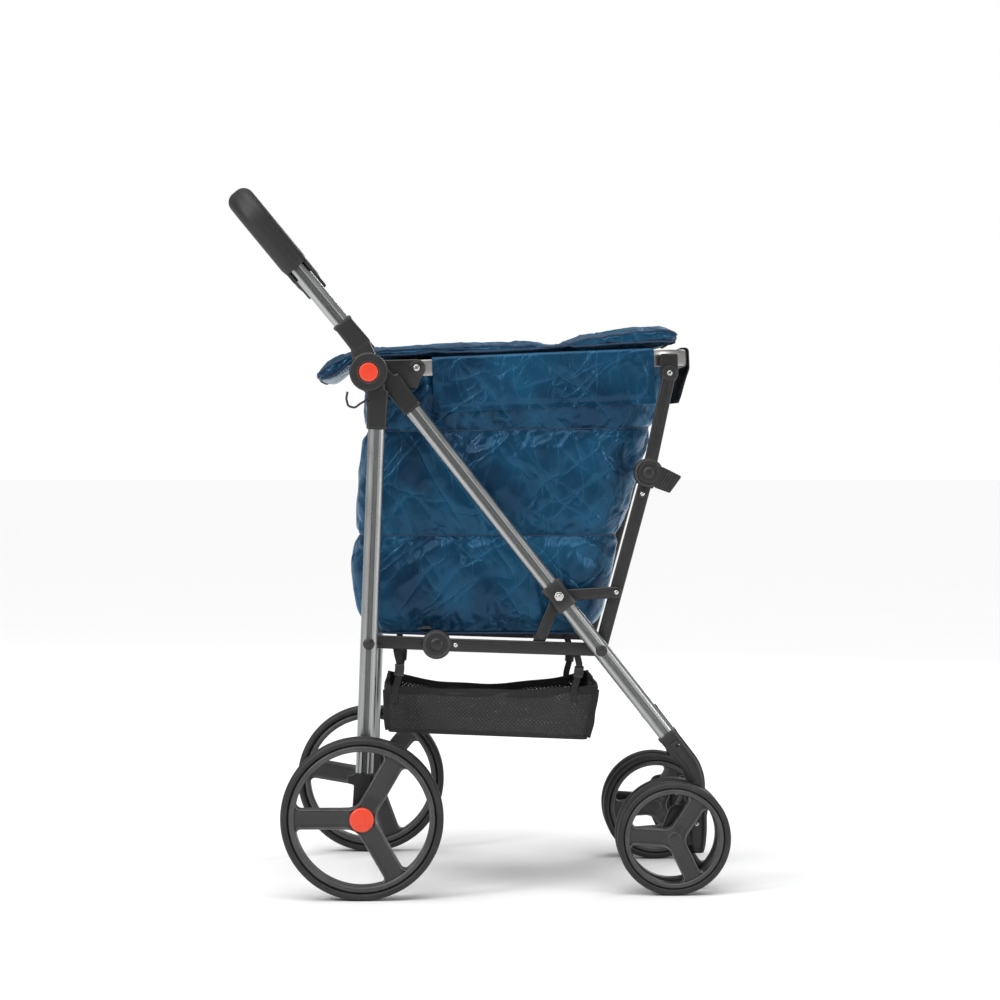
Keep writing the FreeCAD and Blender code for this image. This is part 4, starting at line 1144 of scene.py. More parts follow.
@dataclass
class Handle:
    """The push handle: U-shaped ribbed tube, soft grip, two roots with their red buttons."""

    disc: float = 26 * MM
    button: float = 13 * MM
    recess: float = 7 * MM
    reach: float = 76.5 * MM
    bend: float = 42 * MM
    grip_wall: float = 7.0 * MM

    def path(self, start: float, steps: int = 16) -> np.ndarray:
        """Middle line of the U from one arm's start, across, to the other's."""
        top = HANDLE_ARM.reach_of("handle_grip")[1] - self.grip_wall - TUBE_DEEP / 2 - 0.2 * MM
        low, high = HANDLE_ARM.at(start), HANDLE_ARM.at(top)
        corners = np.array(
            [(low[0], -HANDLE_Y, low[1]), (high[0], -HANDLE_Y, high[1]),
             (high[0], HANDLE_Y, high[1]), (low[0], HANDLE_Y, low[1])])
        return round_path(corners, [self.bend, self.bend], steps)

    def build_tube(self) -> None:
        """The ribbed tube, its wide side in the handle's own side view."""
        wide = np.array([HANDLE_ARM.across[0], 0.0, HANDLE_ARM.across[1]])
        ring, channel = Tube("handle_tube", HANDLE_ARM, HANDLE_Y, "handle").section()
        Shell().sweep(self.path(self.reach - 10 * MM), ring, wide, channel).piece(
            "push_tube", [ALUMINIUM, CHANNEL], "handle", "handle_tube", sharp=60)

    def build_grip(self) -> None:
        """The grip: an oval sleeve that thins at its cut ends, which run on as two lips."""
        start = HANDLE_ARM.reach_of("handle_grip")[0]
        wide = np.array([HANDLE_ARM.across[0], 0.0, HANDLE_ARM.across[1]])
        path = resample(self.path(start), 150)
        length = np.linalg.norm(np.diff(path, axis=0), axis=1).sum()
        run = np.linspace(0, length, len(path))
        ends = np.minimum(run, length - run)
        swell = 0.72 + 0.28 * smooth_step(ends, -2 * MM, 9 * MM)
        fat = oval_section(
            TUBE_WIDE + 2 * self.grip_wall, TUBE_DEEP + 2 * self.grip_wall, 0.0, 0, 8, 15)
        inner = oval_section(TUBE_WIDE - 0.5 * MM, TUBE_DEEP - 0.5 * MM, 0.0, 0, 8, 15)
        tube = inner + (fat - inner) * swell[:, None, None]
        shell = Shell().sweep(path, tube, wide)
        for sign in (-1.0, 1.0):
            for edge in (-1.0, 1.0):
                run = [HANDLE_ARM.at(start + at * MM, edge * (TUBE_WIDE / 2 + 2.4 * MM))
                       for at in (8, -2, -12, -13.5, -15)]
                line = np.array([(x, sign * HANDLE_Y, z) for x, z in run])
                size = np.array([1.0, 1.0, 1.0, 0.9, 0.55])[:, None, None]
                shell.sweep(line, box_section(14 * MM, 5.2 * MM, 1.8 * MM) * size, Y_AXIS)
        shell.piece("push_grip", [SOFT_GRIP], "handle", "handle_grip", sharp=50)

    def build_roots(self) -> None:
        """The two roots: neck and disc fused, then a well for the button."""
        for name, side in SIDES:
            root = Moulding(f"handle_root_{name}", f"handle_socket_{name}", HANDLE_ARM,
                            side * HANDLE_Y, side, "handle")
            shell = Shell()
            face = side * (HANDLE_Y + TUBE_DEEP / 2 + 2 * MM)
            shell.slab(disc_hull([(*HUB, self.disc)], 96), side * (HANDLE_Y + 1 * MM),
                       TUBE_DEEP + 2 * MM, 2.5 * MM)
            shell.slab(
                disc_hull([(*HUB, 19 * MM), (*HANDLE_ARM.at(0.5 * self.reach, -2 * MM), 12 * MM),
                           (*HANDLE_ARM.at(0.5 * self.reach, 2 * MM), 11 * MM)]), root.y,
                root.deep - 1 * MM, 4 * MM)
            root.box(shell, 0.4 * self.reach, self.reach, root.half + 1 * MM, root.half)
            root.box(shell, self.reach - 6 * MM, self.reach, root.half + 1.2 * MM,
                     root.half + 1.2 * MM, 2 * MM, root.deep + 1.6 * MM)
            made = fused(shell.mesh(root.name, [PLASTIC]), root.voxel, 3)
            well = np.array(
                [(0, 2), (self.button / MM + 2.2, 2), (self.button / MM + 1.9, 0),
                 (self.button / MM + 0.35, -1.6), (self.button / MM + 0.35, -7.6), (0, -7.6)])
            carve(made, Shell().lathe(well * MM * [1, side], HUB, face, 64))
            settle(made, PLASTIC.slot, "handle", root.node)
            low = side * (outer_y(f"hub_button_{name}") - 3 * MM)
            profile = np.array([(0, 0), (12.9, 0), (12.9, 1.9), (12.6, 2.6), (11.9, 3.0),
                                (9, 3.15), (0, 3.2)]) * MM
            Shell().lathe(profile * [1, side], HUB, low, 64).piece(
                f"red_button_{name}", [RED], f"button_{name}", f"hub_button_{name}")

    def build(self) -> None:
        """Builds the whole handle."""
        self.build_tube()
        self.build_grip()
        self.build_roots()


@dataclass
class Frames:
    """Both leg frames with their roots, feet, elbows, pins and cross tubes."""

    socket_reach: float = 76.5 * MM

    def build_legs(self) -> None:
        """Ribbed legs and the moulded roots at the hub."""
        for name, side in SIDES:
            for kind, arm, y, body in (("rear", REAR_ARM, REAR_Y, "rear_frame"),
                                       ("front", FRONT_ARM, FRONT_Y, "front_frame")):
                Tube(f"{kind}_leg_{name}", arm, side * y, body).build()
                Moulding(f"{kind}_root_{name}", f"{kind}_socket_{name}", arm, side * y, side,
                         body).root(22 * MM, self.socket_reach)
            Moulding(f"rear_foot_{name}", "rear_feet", REAR_ARM, side * REAR_Y, side,
                     "rear_frame").foot(REAR_ARM.reach_of(f"rear_leg_{name}")[1])

    def build_elbows(self) -> None:
        """Elbows that bend the front tubes down to the swivel posts.

        The section runs along a line that follows the tube, turns by an arc, and drops to
        the post; it changes from the tube's rounded box to the post's fuller one.
        """
        end = FRONT_ARM.reach_of("front_leg_left")[1]
        level = FRONT_ARM.start[1] + FRONT_ARM.along[1] * (
            (SWIVEL_X - FRONT_ARM.start[0]) / FRONT_ARM.along[0])
        for name, side in SIDES:
            y = side * FRONT_Y
            corners = np.array(
                [(*FRONT_ARM.at(end - 1.5 * MM)[:1], y, FRONT_ARM.at(end - 1.5 * MM)[1]),
                 (SWIVEL_X, y, level), (SWIVEL_X, y, 135.4 * MM)])
            path = resample(round_path(corners, [62 * MM], 16), 40)
            share = np.linspace(0, 1, len(path))
            wide = (26.8 + 1.0 * np.sin(share * math.pi) - 3.0 * share) * MM
            deep = (18.4 + 3.6 * smooth_step(share, 0.35, 0.9)) * MM
            lip = 1.0 + 0.05 * (share < 0.06)
            unit_box = box_section(1.0, 1.0, 0.3, 6)
            rings = unit_box[None] * np.stack([wide * lip, deep * lip], 1)[:, None]
            shell = Shell().sweep(path, rings, X_AXIS)
            rib = resample(path[6:34], 24)
            shell.sweep(rib, box_section(9 * MM, 1.2 * MM, 0.5 * MM) + [0, 11.4 * MM], X_AXIS)
            face = side * (FRONT_Y + 9.2 * MM)
            screw_head(shell, FRONT_ARM.at(end + 20 * MM, 1.0 * MM), face, side, 4.2 * MM)
            shell.piece(f"elbow_{name}", [PLASTIC, ZINC], "front_frame", f"caster_socket_{name}")

    def build_pins(self) -> None:
        """Pins with domed caps where the rails and links meet the legs, and bolts on the hub."""
        frame_pins, leg_pins = Shell(), Shell()
        for _, side in SIDES:
            for shell, centre, start, end in (
                    (frame_pins, RAIL_PIVOT, INNER_BAR_Y - BAR_DEEP / 2, REAR_Y + TUBE_DEEP / 2),
                    (frame_pins, HUB, OUTER_BAR_Y - BAR_DEEP / 2, HANDLE_Y),
                    (leg_pins, LEG_PIVOT, INNER_BAR_Y - BAR_DEEP / 2, FRONT_Y + TUBE_DEEP / 2)):
                shell.rod(centre, start, end, side)
                if centre is not HUB:
                    shell.dome(centre, side * (end - 1.2 * MM), side, 8 * MM, 2.6 * MM, 1.6 * MM)
                    shell.dome(centre, side * (end + 2.6 * MM), side, 4.2 * MM, 0.9 * MM, 0.2 * MM)
            frame_pins.rod(RAIL_PIVOT, INNER_BAR_Y + BAR_DEEP / 2 + 1 * MM, REAR_Y - TUBE_DEEP / 2,
                           side, 8 * MM, 0)
        frame_pins.piece("frame_pivots", [STEEL_BLACK, ZINC], "rear_frame", "frame_pins")
        leg_pins.piece("leg_pivots", [STEEL_BLACK, ZINC], "front_frame", "leg_pins")

    def build_hook(self) -> None:
        """Bent wire hook on the near hub: a round section along a smooth curve."""
        low, high = (np.array(end) + [-4 * MM, 0, -14 * MM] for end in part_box("bag_hook"))
        y = float((low[1] + high[1]) / 2)
        wire = 1.5 * MM
        corners = np.array([
            (high[0] - wire + 9 * MM, y, high[2] - 10 * MM), (high[0] - 6 * MM, y, low[2] + 7 * MM),
            (high[0] - 13 * MM, y, low[2] + wire), (low[0] + 4 * MM, y, low[2] + 4 * MM),
            (low[0] + wire, y, low[2] + 14 * MM), (low[0] + 3.2 * MM, y, high[2] - wire)])
        path = resample(round_path(corners, [6 * MM, 6 * MM, 5 * MM, 7 * MM], 8), 70)
        shell = Shell().sweep(path, box_section(2 * wire, 2 * wire, wire * 0.99, 5), Y_AXIS)
        shell.piece("wire_hook", [STEEL_BLACK], "rear_frame", "bag_hook")

    def build(self) -> None:
        """Builds both frames and dresses the axle and the cross tubes."""
        self.build_legs()
        self.build_elbows()
        self.build_pins()
        self.build_hook()
        for node, finish in (
                ("rear_axle", ZINC), ("rear_cross_tube", STEEL_BLACK),
                ("front_cross_tube", STEEL_BLACK), ("caster_axle_left", ZINC),
                ("caster_axle_right", ZINC), ("base_board", BOARD)):
            dress_node(node, finish)


def dress_node(node: str, finish: Finish) -> None:
    """Gives a CAD node that stays in view its finish.

    Args:
        node: the node's name.
        finish: its finish.
    """
    made = frame["nodes"][node]
    made.data.materials.clear()
    made.data.materials.append(finish.material())
    made.data.shade_smooth()
    made.data.set_sharp_from_angle(angle=math.radians(35))
    LOG.info("%s keeps its shape, in %s", node, finish.name)


# ------------------------------------------------------------------ folding bars

@dataclass
class Linkage:
    """Flat bars, fold discs, stays, sleeves and release tabs on both sides."""

    bar_half: float = 9 * MM
    disc: float = 20 * MM
    edge: float = 2.2 * MM

    def bar(self, node: str, body: str, start: np.ndarray, end: np.ndarray, y: float,
            disc_at: np.ndarray | None = None, dome_at: np.ndarray | None = None,
            rivets: tuple[np.ndarray, ...] = (), half: float | None = None,
            screws: tuple[np.ndarray, ...] = ()) -> None:
        """Builds one bar on each side.

        Args:
            node: the CAD node it stands for.
            body: the body it rides on.
            start: X and Z of its first pivot.
            end: X and Z of its second.
            y: distance of its layer from the centre plane.
            disc_at: where its fold disc is.
            dome_at: where a large dome caps the disc.
            rivets: places of small bright rivets.
            half: half its width.
            screws: places of screws.
        """
        shell, half = Shell(), half or self.bar_half
        for _, side in SIDES:
            face = side * (y + BAR_DEEP / 2)
            shell.slab(disc_hull([(*start, half), (*end, half)]), side * y, BAR_DEEP, self.edge)
            run = unit(end - start)
            inner = [
                (*(start + run * half * 1.6), half * 0.5), (*(end - run * half * 1.6), half * 0.5)]
            shell.slab(disc_hull(inner), side * (y + 0.25 * MM), BAR_DEEP, 0.6 * MM)
            if disc_at is not None:
                shell.slab(disc_hull([(*disc_at, self.disc)], 96), side * (y + 0.3 * MM),
                           BAR_DEEP + 0.6 * MM, 1.6 * MM)
                shell.lathe(np.array([(15.2, 0), (18.2, 0), (18.2, 0.9), (17.6, 1.3), (15.8, 1.3),
                                      (15.2, 0.9)]) * MM * [1, side], disc_at,
                            side * (y + BAR_DEEP / 2 + 0.4 * MM))
            if dome_at is not None:
                shell.dome(dome_at, face, side, 9.5 * MM, 3.4 * MM, 0.9 * MM, 40)
            for place in rivets:
                shell.dome(place, face - side * 0.1 * MM, side, 5.2 * MM, 0.3 * MM, 0.4 * MM)
                shell.dome(
                    place, face + side * 0.5 * MM, side, 3.1 * MM, 1.3 * MM, 0.2 * MM, slot=1)
            for place in screws:
                shell.dome(place, face - side * 0.1 * MM, side, 10.0 * MM, 0.8 * MM, 0.4 * MM, 40)
                screw_head(shell, place, face + side * 0.9 * MM, side, 3.6 * MM)
        shell.piece(f"{node}_bars", [STEEL_BLACK, ZINC], body, node)

    def build_bars(self) -> None:
        """Rails, links and stays."""
        rail_fold = np.array([HUB[0] + 91.2 * MM, 339.0 * MM])
        link_stay = LEG_PIVOT + 0.325 * (LINK_FOLD - LEG_PIVOT)
        rail_stay = LEG_PIVOT + 0.39 * (rail_fold - LEG_PIVOT)
        down = unit(LEG_PIVOT - LINK_FOLD)
        on = unit(LEG_PIVOT - rail_fold)
        self.bar("rear_rails", "rear_rails", RAIL_PIVOT, rail_fold, INNER_BAR_Y, rail_fold)
        self.bar("front_rails", "front_rails", LEG_PIVOT, rail_fold, OUTER_BAR_Y, rail_fold,
                 rail_fold, (rail_fold + on * 26 * MM,))
        self.bar("lower_links", "lower_links", LEG_PIVOT, LINK_FOLD, INNER_BAR_Y, LINK_FOLD, None,
                 (LINK_FOLD + down * 30 * MM,))
        self.bar("upper_links", "upper_links", LINK_FOLD, LINK_TOP, OUTER_BAR_Y, LINK_FOLD, None,
                 (), None, (LINK_TOP,))
        self.bar("upper_stays", "upper_stays", SLEEVE_PIVOT, link_stay, OUTER_BAR_Y,
                 rivets=(link_stay,), half=8 * MM)
        self.bar("lower_stays", "lower_stays", SLEEVE_PIVOT, rail_stay, INNER_BAR_Y,
                 rivets=(rail_stay,), half=8 * MM)

    def build_fold_parts(self) -> None:
        """Release tabs and pins on the uprights' discs."""
        levers, pins = Shell(), Shell()
        lever_y = outer_y("fold_levers") - 1.75 * MM
        for _, side in SIDES:
            levers.slab(disc_hull([(*LINK_FOLD, 14.6 * MM)], 80), side * lever_y, 3.5 * MM, 1 * MM)
            tab = [(LINK_FOLD[0] + x * MM, LINK_FOLD[1] + z * MM, 2.2 * MM) for x,
                   z in ((8, 9), (20, 5.5), (42, -5.6), (28, -25), (10, -18.5), (3, -9))]
            levers.slab(disc_hull(tab), side * (lever_y - 0.15 * MM), 3.1 * MM, 0.9 * MM)
            for share in (0.0, 0.5, 1.0):
                rib = [(LINK_FOLD[0] + (x + 6 * share) * MM, LINK_FOLD[1] + (z - 3.2 * share) * MM,
                        0.7 * MM) for x, z in ((27, 0.0), (17, -16.0))]
                levers.slab(disc_hull(rib, 20), side * (lever_y + 1.9 * MM), 0.9 * MM, 0.3 * MM, 3)
            low, high = INNER_BAR_Y - BAR_DEEP / 2, lever_y + 1.75 * MM
            pins.rod(LINK_FOLD, low, high, side)
            pins.dome(LINK_FOLD, side * (high + 0.1 * MM), side, 8 * MM, 2.4 * MM, 0.8 * MM, 40)
        levers.piece("release_tabs", [PLASTIC], "fold_levers", "fold_levers")
        pins.piece("link_pivots", [STEEL_BLACK, ZINC], "lower_links", "link_pins")

    def build_sleeves(self) -> None:
        """Sleeves round the front tubes: an outer and an inner oval joined at both ends."""
        shell = Shell()
        reach = float(np.dot(SLEEVE_PIVOT - FRONT_ARM.start, FRONT_ARM.along))
        wide = np.array([FRONT_ARM.across[0], 0.0, FRONT_ARM.across[1]])
        for _, side in SIDES:
            outer = box_section(31.0 * MM, 20.6 * MM, 6.5 * MM, 8)
            inner = box_section(TUBE_WIDE + 0.5 * MM, TUBE_DEEP + 0.5 * MM, 6.0 * MM, 8)
            rows = []
            for at, ring in ((-20.0, inner), (-20.5, outer * 0.95), (-19.2, outer),
                             (-8, outer * 0.975), (0, outer * 0.97), (8, outer * 0.975),
                             (19.2, outer), (20.5, outer * 0.95), (20.0, inner)):
                centre = FRONT_ARM.at(reach + at * MM)
                point = np.array([centre[0], side * FRONT_Y, centre[1]])
                rows.append(point + ring[:, :1] * wide + ring[:, 1:] * Y_AXIS)
            shell.grid(np.stack(rows), wrap_u=True, wrap_v=True)
            face = side * (FRONT_Y + 9.9 * MM)
            shell.dome(SLEEVE_PIVOT, face, side, 6.8 * MM, 1.2 * MM, 0.9 * MM, 6, slot=1)
            shell.dome(
                SLEEVE_PIVOT, face + side * 1.4 * MM, side, 3.6 * MM, 1.3 * MM, 0.2 * MM, slot=1)
            low, high = INNER_BAR_Y - BAR_DEEP / 2, FRONT_Y - TUBE_DEEP / 2 - 1 * MM
            shell.rod(SLEEVE_PIVOT, low, high, side)
        shell.piece("leg_sleeves", [PLASTIC, ZINC], "sleeves", "sliding_sleeves")

    def build(self) -> None:
        """Builds every bar and what folds it."""
        self.build_bars()
        self.build_fold_parts()
        self.build_sleeves()


# ------------------------------------------------------------------ wheels

@dataclass
class Wheel:
    """A moulded three-spoke rim and its solid tyre."""

    name: str
    rim_node: str
    tyre_node: str
    body: str
    centre: np.ndarray
    y: float
    side: float
    radius: float
    tyre: float
    half_width: float
    window: float
    spoke: float
    face: float
    hub_rise: float
    hub_radius: float
    turn: float
    fillet: float
    corner: float = 7 * MM
    bore: float = 5.5 * MM

    @property
    def seat(self) -> float:
        """Radius at which the tyre sits."""
        return self.radius - self.tyre

    def window_loops(self) -> tuple[np.ndarray, np.ndarray]:
        """Outline of one window and the matching loop round its third of the wheel.

        In a frame whose first axis halves the window, the outline is an arc by the hub, a
        straight edge beside one spoke, a corner, the long arc inside the band, and the same
        back. Each point is paired with one on the spokes' middle lines, the bore or the band.

        Returns:
            Two arrays (n, 2), counter-clockwise, that start at the arc by the hub.
        """
        ray = np.array([math.cos(math.pi / 3), math.sin(math.pi / 3)])
        inward = np.array([ray[1], -ray[0]])
        half, wide, small = self.spoke / 2, self.fillet, self.corner
        hub = (half + wide) / ray[1]
        near = hub * ray[0]
        far = math.sqrt((self.window - small) ** 2 - (half + small) ** 2)
        corner = far * ray + (half + small) * inward
        lean = math.atan2(corner[1], corner[0])
        band = self.window + 3 * MM

        def arc(centre: tuple[float, float], radius: float, start: float, end: float,
                count: int) -> np.ndarray:
            turn = np.linspace(start, end, count)
            return np.stack(
                [centre[0] + radius * np.cos(turn), centre[1] + radius * np.sin(turn)], 1)

        def edge(start: float, end: float, count: int) -> np.ndarray:
            return np.linspace(start, end, count)[:, None] * ray

        down = np.array([1.0, -1.0])
        n_hub, n_edge, n_corner, n_band = 29, 14, 9, 40
        hub_arc = arc((hub, 0), wide, math.radians(150), math.radians(210), n_hub)
        around = np.concatenate(
            [edge(near, self.bore, 6), arc((0, 0), self.bore, math.pi / 3, -math.pi / 3, n_hub),
             edge(self.bore, near, 6) * down])
        corner_arc = arc(corner, small, lean, math.radians(150), n_corner)
        beyond = np.concatenate([arc((0, 0), band, lean, math.pi / 3, 8), edge(band, far, 4)])
        straight = edge(far, near, n_edge)[1:-1]
        long_arc = arc((0, 0), self.window, -lean, lean, n_band)[1:-1]
        loop = np.concatenate(
            [hub_arc, (straight + half * inward)[::-1] * down, corner_arc[::-1] * down, long_arc,
             corner_arc, straight + half * inward])
        cell = np.concatenate(
            [resample(around, n_hub), straight[::-1] * down,
             resample(beyond, n_corner)[::-1] * down, long_arc * (band / self.window),
             resample(beyond, n_corner), straight])
        return loop, cell

    def spider(self, shell: Shell) -> None:
        """Adds the spoked plate as three closed thirds.

        Rows run from the front of the third's border in to the window, over a raised lip,
        down the window's wall and out again on the back. The face climbs to the hub by a
        smooth step of the distance from the axle.
        """
        loop, cell = self.window_loops()
        normal = -outline_normals(loop[::-1])[::-1]
        lips = ((0.0, -0.9), (0.25, 0.7), (0.9, 1.9), (1.8, 1.8), (2.5, 0.7), (3.3, 0.0))
        lip = [loop + normal * out * MM for out, _ in lips]
        rows, heights = [
            cell, 0.5 * (cell + lip[-1])] + lip[::-1], [0.0, 0.0] + [up for _, up in lips[::-1]]
        back = [
            (loop, 1.0), (loop + normal * 1.0 * MM, 0.0), (0.5 * (cell + loop), 0.0), (cell, 0.0)]
        count = len(rows)
        plan = np.stack(rows + [row for row, _ in back])
        distance = np.linalg.norm(plan, axis=2)
        climb = self.hub_rise * (1 - smooth_step(distance, self.hub_radius, 1.8 * self.hub_radius))
        up = np.empty(distance.shape)
        up[:count] = self.face + np.array(heights)[:, None] * MM + climb[:count]
        up[count:] = -0.72 * self.face + np.array([rise for _, rise in back])[:, None] * MM
        up[count:] -= 0.6 * climb[count:]
        for third in range(3):
            turn = self.turn + third * 2 * math.pi / 3
            spin = np.array([[math.cos(turn), math.sin(turn)], [-math.sin(turn), math.cos(turn)]])
            place = plan @ spin + self.centre
            surface = np.stack([place[..., 0], self.y + self.side * up, place[..., 1]], -1)
            shell.grid(surface, wrap_v=True)
            radius = np.linalg.norm(cell, axis=1)
            for edge_radius in (self.bore, self.window + 3 * MM):
                on = np.flatnonzero(np.abs(radius - edge_radius) < 1e-6)
                shell.grid(surface[[-1, 0]][:, on])

    def build_rim(self) -> None:
        """The spoked plate, the band round it, and the collar at its middle."""
        shell = Shell()
        self.spider(shell)
        w, inner, outer = self.half_width - 0.6 * MM, self.window, self.seat
        lip = outer - inner
        band = [
            (inner + 0.25 * lip, 0.0), (inner + 0.02 * lip, 0.70 * w),
            (inner - 0.01 * lip, 0.86 * w), (inner + 0.12 * lip, 0.96 * w), (inner + 0.35 * lip, w),
            (inner + 0.62 * lip, 0.985 * w), (inner + 0.82 * lip, 0.92 * w),
            (inner + 0.9 * lip, 0.8 * w), (outer + 0.2 * MM, 0.7 * w)]
        profile = np.array(band + [(r, -y) for r, y in band[:0:-1]])
        shell.lathe(profile * [1, self.side], self.centre, self.y, 120)
        reach = self.face + self.hub_rise
        collar = np.array(
            [(self.bore - 0.4 * MM, -reach), (self.hub_radius * 0.75, -reach),
             (self.hub_radius * 0.75, reach - 1.5 * MM), (self.bore - 0.4 * MM, reach - 1.5 * MM)])
        shell.lathe(collar * [1, self.side], self.centre, self.y, 48)
        if self.bore > 5 * MM and self.hub_rise < 3 * MM:
            shell.dome(self.centre, self.y + self.side * (reach - 1.0 * MM), self.side, 9 * MM,
                       1.2 * MM, 0.9 * MM, 48)
        shell.piece(f"{self.name}_rim", [RIM_GREY], self.body, self.rim_node, sharp=48)

    def build_tyre(self) -> None:
        """The tyre: shoulders, a groove by the rim and two grooves round the tread."""
        w, seat, top = self.half_width, self.seat - 0.1 * MM, self.radius
        deep = self.tyre
        half = [
            (seat, 0.72 * w), (seat + 0.06 * deep, 0.86 * w), (seat + 0.2 * deep, 0.965 * w),
            (seat + 0.42 * deep, w), (seat + 0.62 * deep, 0.985 * w), (seat + 0.82 * deep, 0.9 * w),
            (seat + 0.95 * deep, 0.74 * w), (top - 0.1 * MM, 0.56 * w), (top, 0.42 * w),
            (top - 0.9 * MM, 0.38 * w), (top - 0.9 * MM, 0.32 * w), (top, 0.28 * w), (top, 0.1 * w)]
        profile = np.array(half + [(r, -y) for r, y in half[::-1]])
        Shell().lathe(profile, self.centre, self.y, 144).piece(
            f"{self.name}_tyre", [TYRE], self.body, self.tyre_node, sharp=50)

    def build(self) -> None:
        """Builds the rim and the tyre."""
        self.build_rim()
        self.build_tyre()


@dataclass
class RunningGear:
    """Two rear wheels with red caps, and two casters with a pair of wheels each."""

    rear_radius: float = 110 * MM
    caster_radius: float = 77.5 * MM

    def build_rear(self) -> None:
        """Rear wheels and their domed caps."""
        y = outer_y("rear_tyre_left") - 16 * MM
        for (name, side), turn in zip(SIDES, (math.radians(-10), 0.0)):
            Wheel(
                f"rear_wheel_{name}", f"rear_rim_{name}", f"rear_tyre_{name}", f"rear_wheel_{name}",
                REAR_AXLE, side * y, side, radius=self.rear_radius, tyre=10 * MM,
                half_width=16 * MM, window=91 * MM, spoke=27.5 * MM, face=11.5 * MM,
                hub_rise=4.3 * MM, hub_radius=18.5 * MM, turn=turn, fillet=20 * MM).build()
            profile = np.array([(0, -2), (14, -2), (15.6, -0.2), (16.5, 0.4), (16.5, 3.0),
                                (16.1, 4.4), (15.0, 5.3), (11, 5.7), (0, 6.0)]) * MM
            Shell().lathe(profile * [1, side], REAR_AXLE, side * (y + 16 * MM), 80).piece(
                f"red_cap_{name}", [RED], f"rear_wheel_{name}", f"wheel_cap_{name}")

    def build_casters(self) -> None:
        """Caster forks and the two wheels on each."""
        for name, side in SIDES:
            self.build_fork(name, side)
            for place, way in (("outer", side), ("inner", -side)):
                y = side * FRONT_Y + way * 25 * MM
                Wheel(f"caster_wheel_{name}_{place}", f"front_rim_{name}_{place}",
                      f"front_tyre_{name}_{place}", f"front_wheel_{name}_{place}", CASTER_AXLE, y,
                      way, radius=self.caster_radius, tyre=9 * MM, half_width=12 * MM,
                      window=61 * MM, spoke=24 * MM, face=8.2 * MM, hub_rise=2.2 * MM,
                      hub_radius=11 * MM, turn=math.radians(4 if way < 0 else -4) * side,
                      fillet=17 * MM, corner=6 * MM).build()

    def build_fork(self, name: str, side: float) -> None:
        """Swivel barrel, arm and axle eye fused into one moulding, with its side screw."""
        shell, y = Shell(), side * FRONT_Y
        barrel = np.array([(SWIVEL_X, y, z * MM) for z in np.linspace(54, 133.6, 9)])
        grow = np.array([0.72, 0.88, 0.95, 1, 1, 1, 1, 1.04, 1.04])[:, None, None]
        shell.sweep(barrel, oval_section(30 * MM, 22 * MM, 0, 0, 6, 12) * grow, X_AXIS)
        arm = [(*CASTER_AXLE, 18 * MM), (SWIVEL_X - 2 * MM, 78 * MM, 14 * MM),
               (SWIVEL_X - 4 * MM, 112 * MM, 12 * MM), (CASTER_AXLE[0] + 6 * MM, 108 * MM, 12 * MM)]
        shell.slab(disc_hull(arm), y, 19 * MM, 4 * MM)
        shell.slab(disc_hull([(*CASTER_AXLE, 12 * MM)]), y, 24 * MM, 1.5 * MM)
        made = fused(shell.mesh(f"caster_body_{name}", [PLASTIC]), 1.2 * MM, 4)
        settle(made, PLASTIC.slot, f"caster_{name}", f"caster_fork_{name}")
        screw = Shell()
        for way in (-1, 1):
            screw_head(screw, np.array([SWIVEL_X, 95 * MM]), y + way * 10.6 * MM, way, 3.4 * MM)
        screw.piece(f"caster_screw_{name}", [STEEL_BLACK, ZINC], f"caster_{name}")

    def build(self) -> None:
        """Builds all six wheels."""
        self.build_rear()
        self.build_casters()


# ------------------------------------------------------------------ cloth

class Weight(Enum):
    """How a sewn piece is filled: the cloth's pressure, spare length and greatest movement."""

    PUFFED = (2.2, 0.06, 5.0)
    LINED = (0.8, 0.03, 4.0)


def waves(place: np.ndarray, length: float, seed: int, count: int = 9,
          lean: tuple[float, float, float] = (1.0, 1.0, 1.0)) -> np.ndarray:
    """Smooth random field: a sum of cosines of places along seeded directions.

    Args:
        place: array (..., 3).
        length: mean wavelength.
        seed: seed of the directions and phases.
        count: cosines added.
        lean: how much each axis counts.

    Returns:
        Array (...), of standard deviation about one.
    """
    draw = np.random.default_rng(seed)
    way = draw.normal(size=(count, 3)) * lean
    way *= (draw.uniform(0.7, 1.5, count) / np.linalg.norm(way, axis=1))[:, None]
    phase = draw.uniform(0, 2 * math.pi, count)
    return np.cos(place @ way.T * (2 * math.pi / length) + phase).sum(-1) * math.sqrt(2 / count)


def crest(place: np.ndarray, length: float, seed: int,
          lean: tuple[float, float, float] = (1.0, 1.0, 1.0)) -> np.ndarray:
    """Creases: one where the smooth random field is zero, falling away squared beside it."""
    return np.clip(1 - np.abs(waves(place, length, seed, 9, lean)), 0, 1) ** 2


def surface_normals(surface: np.ndarray, wrap_u: bool = False) -> np.ndarray:
    """Unit normals of a grid: its columns' run crossed with its rows' run."""
    rows = (
        np.roll(surface, -1, 0) - np.roll(surface, 1, 0)) if wrap_u else np.gradient(surface,
        axis=0)
    normal = np.cross(rows, np.gradient(surface, axis=1))
    return normal / np.maximum(np.linalg.norm(normal, axis=2), 1e-12)[..., None]


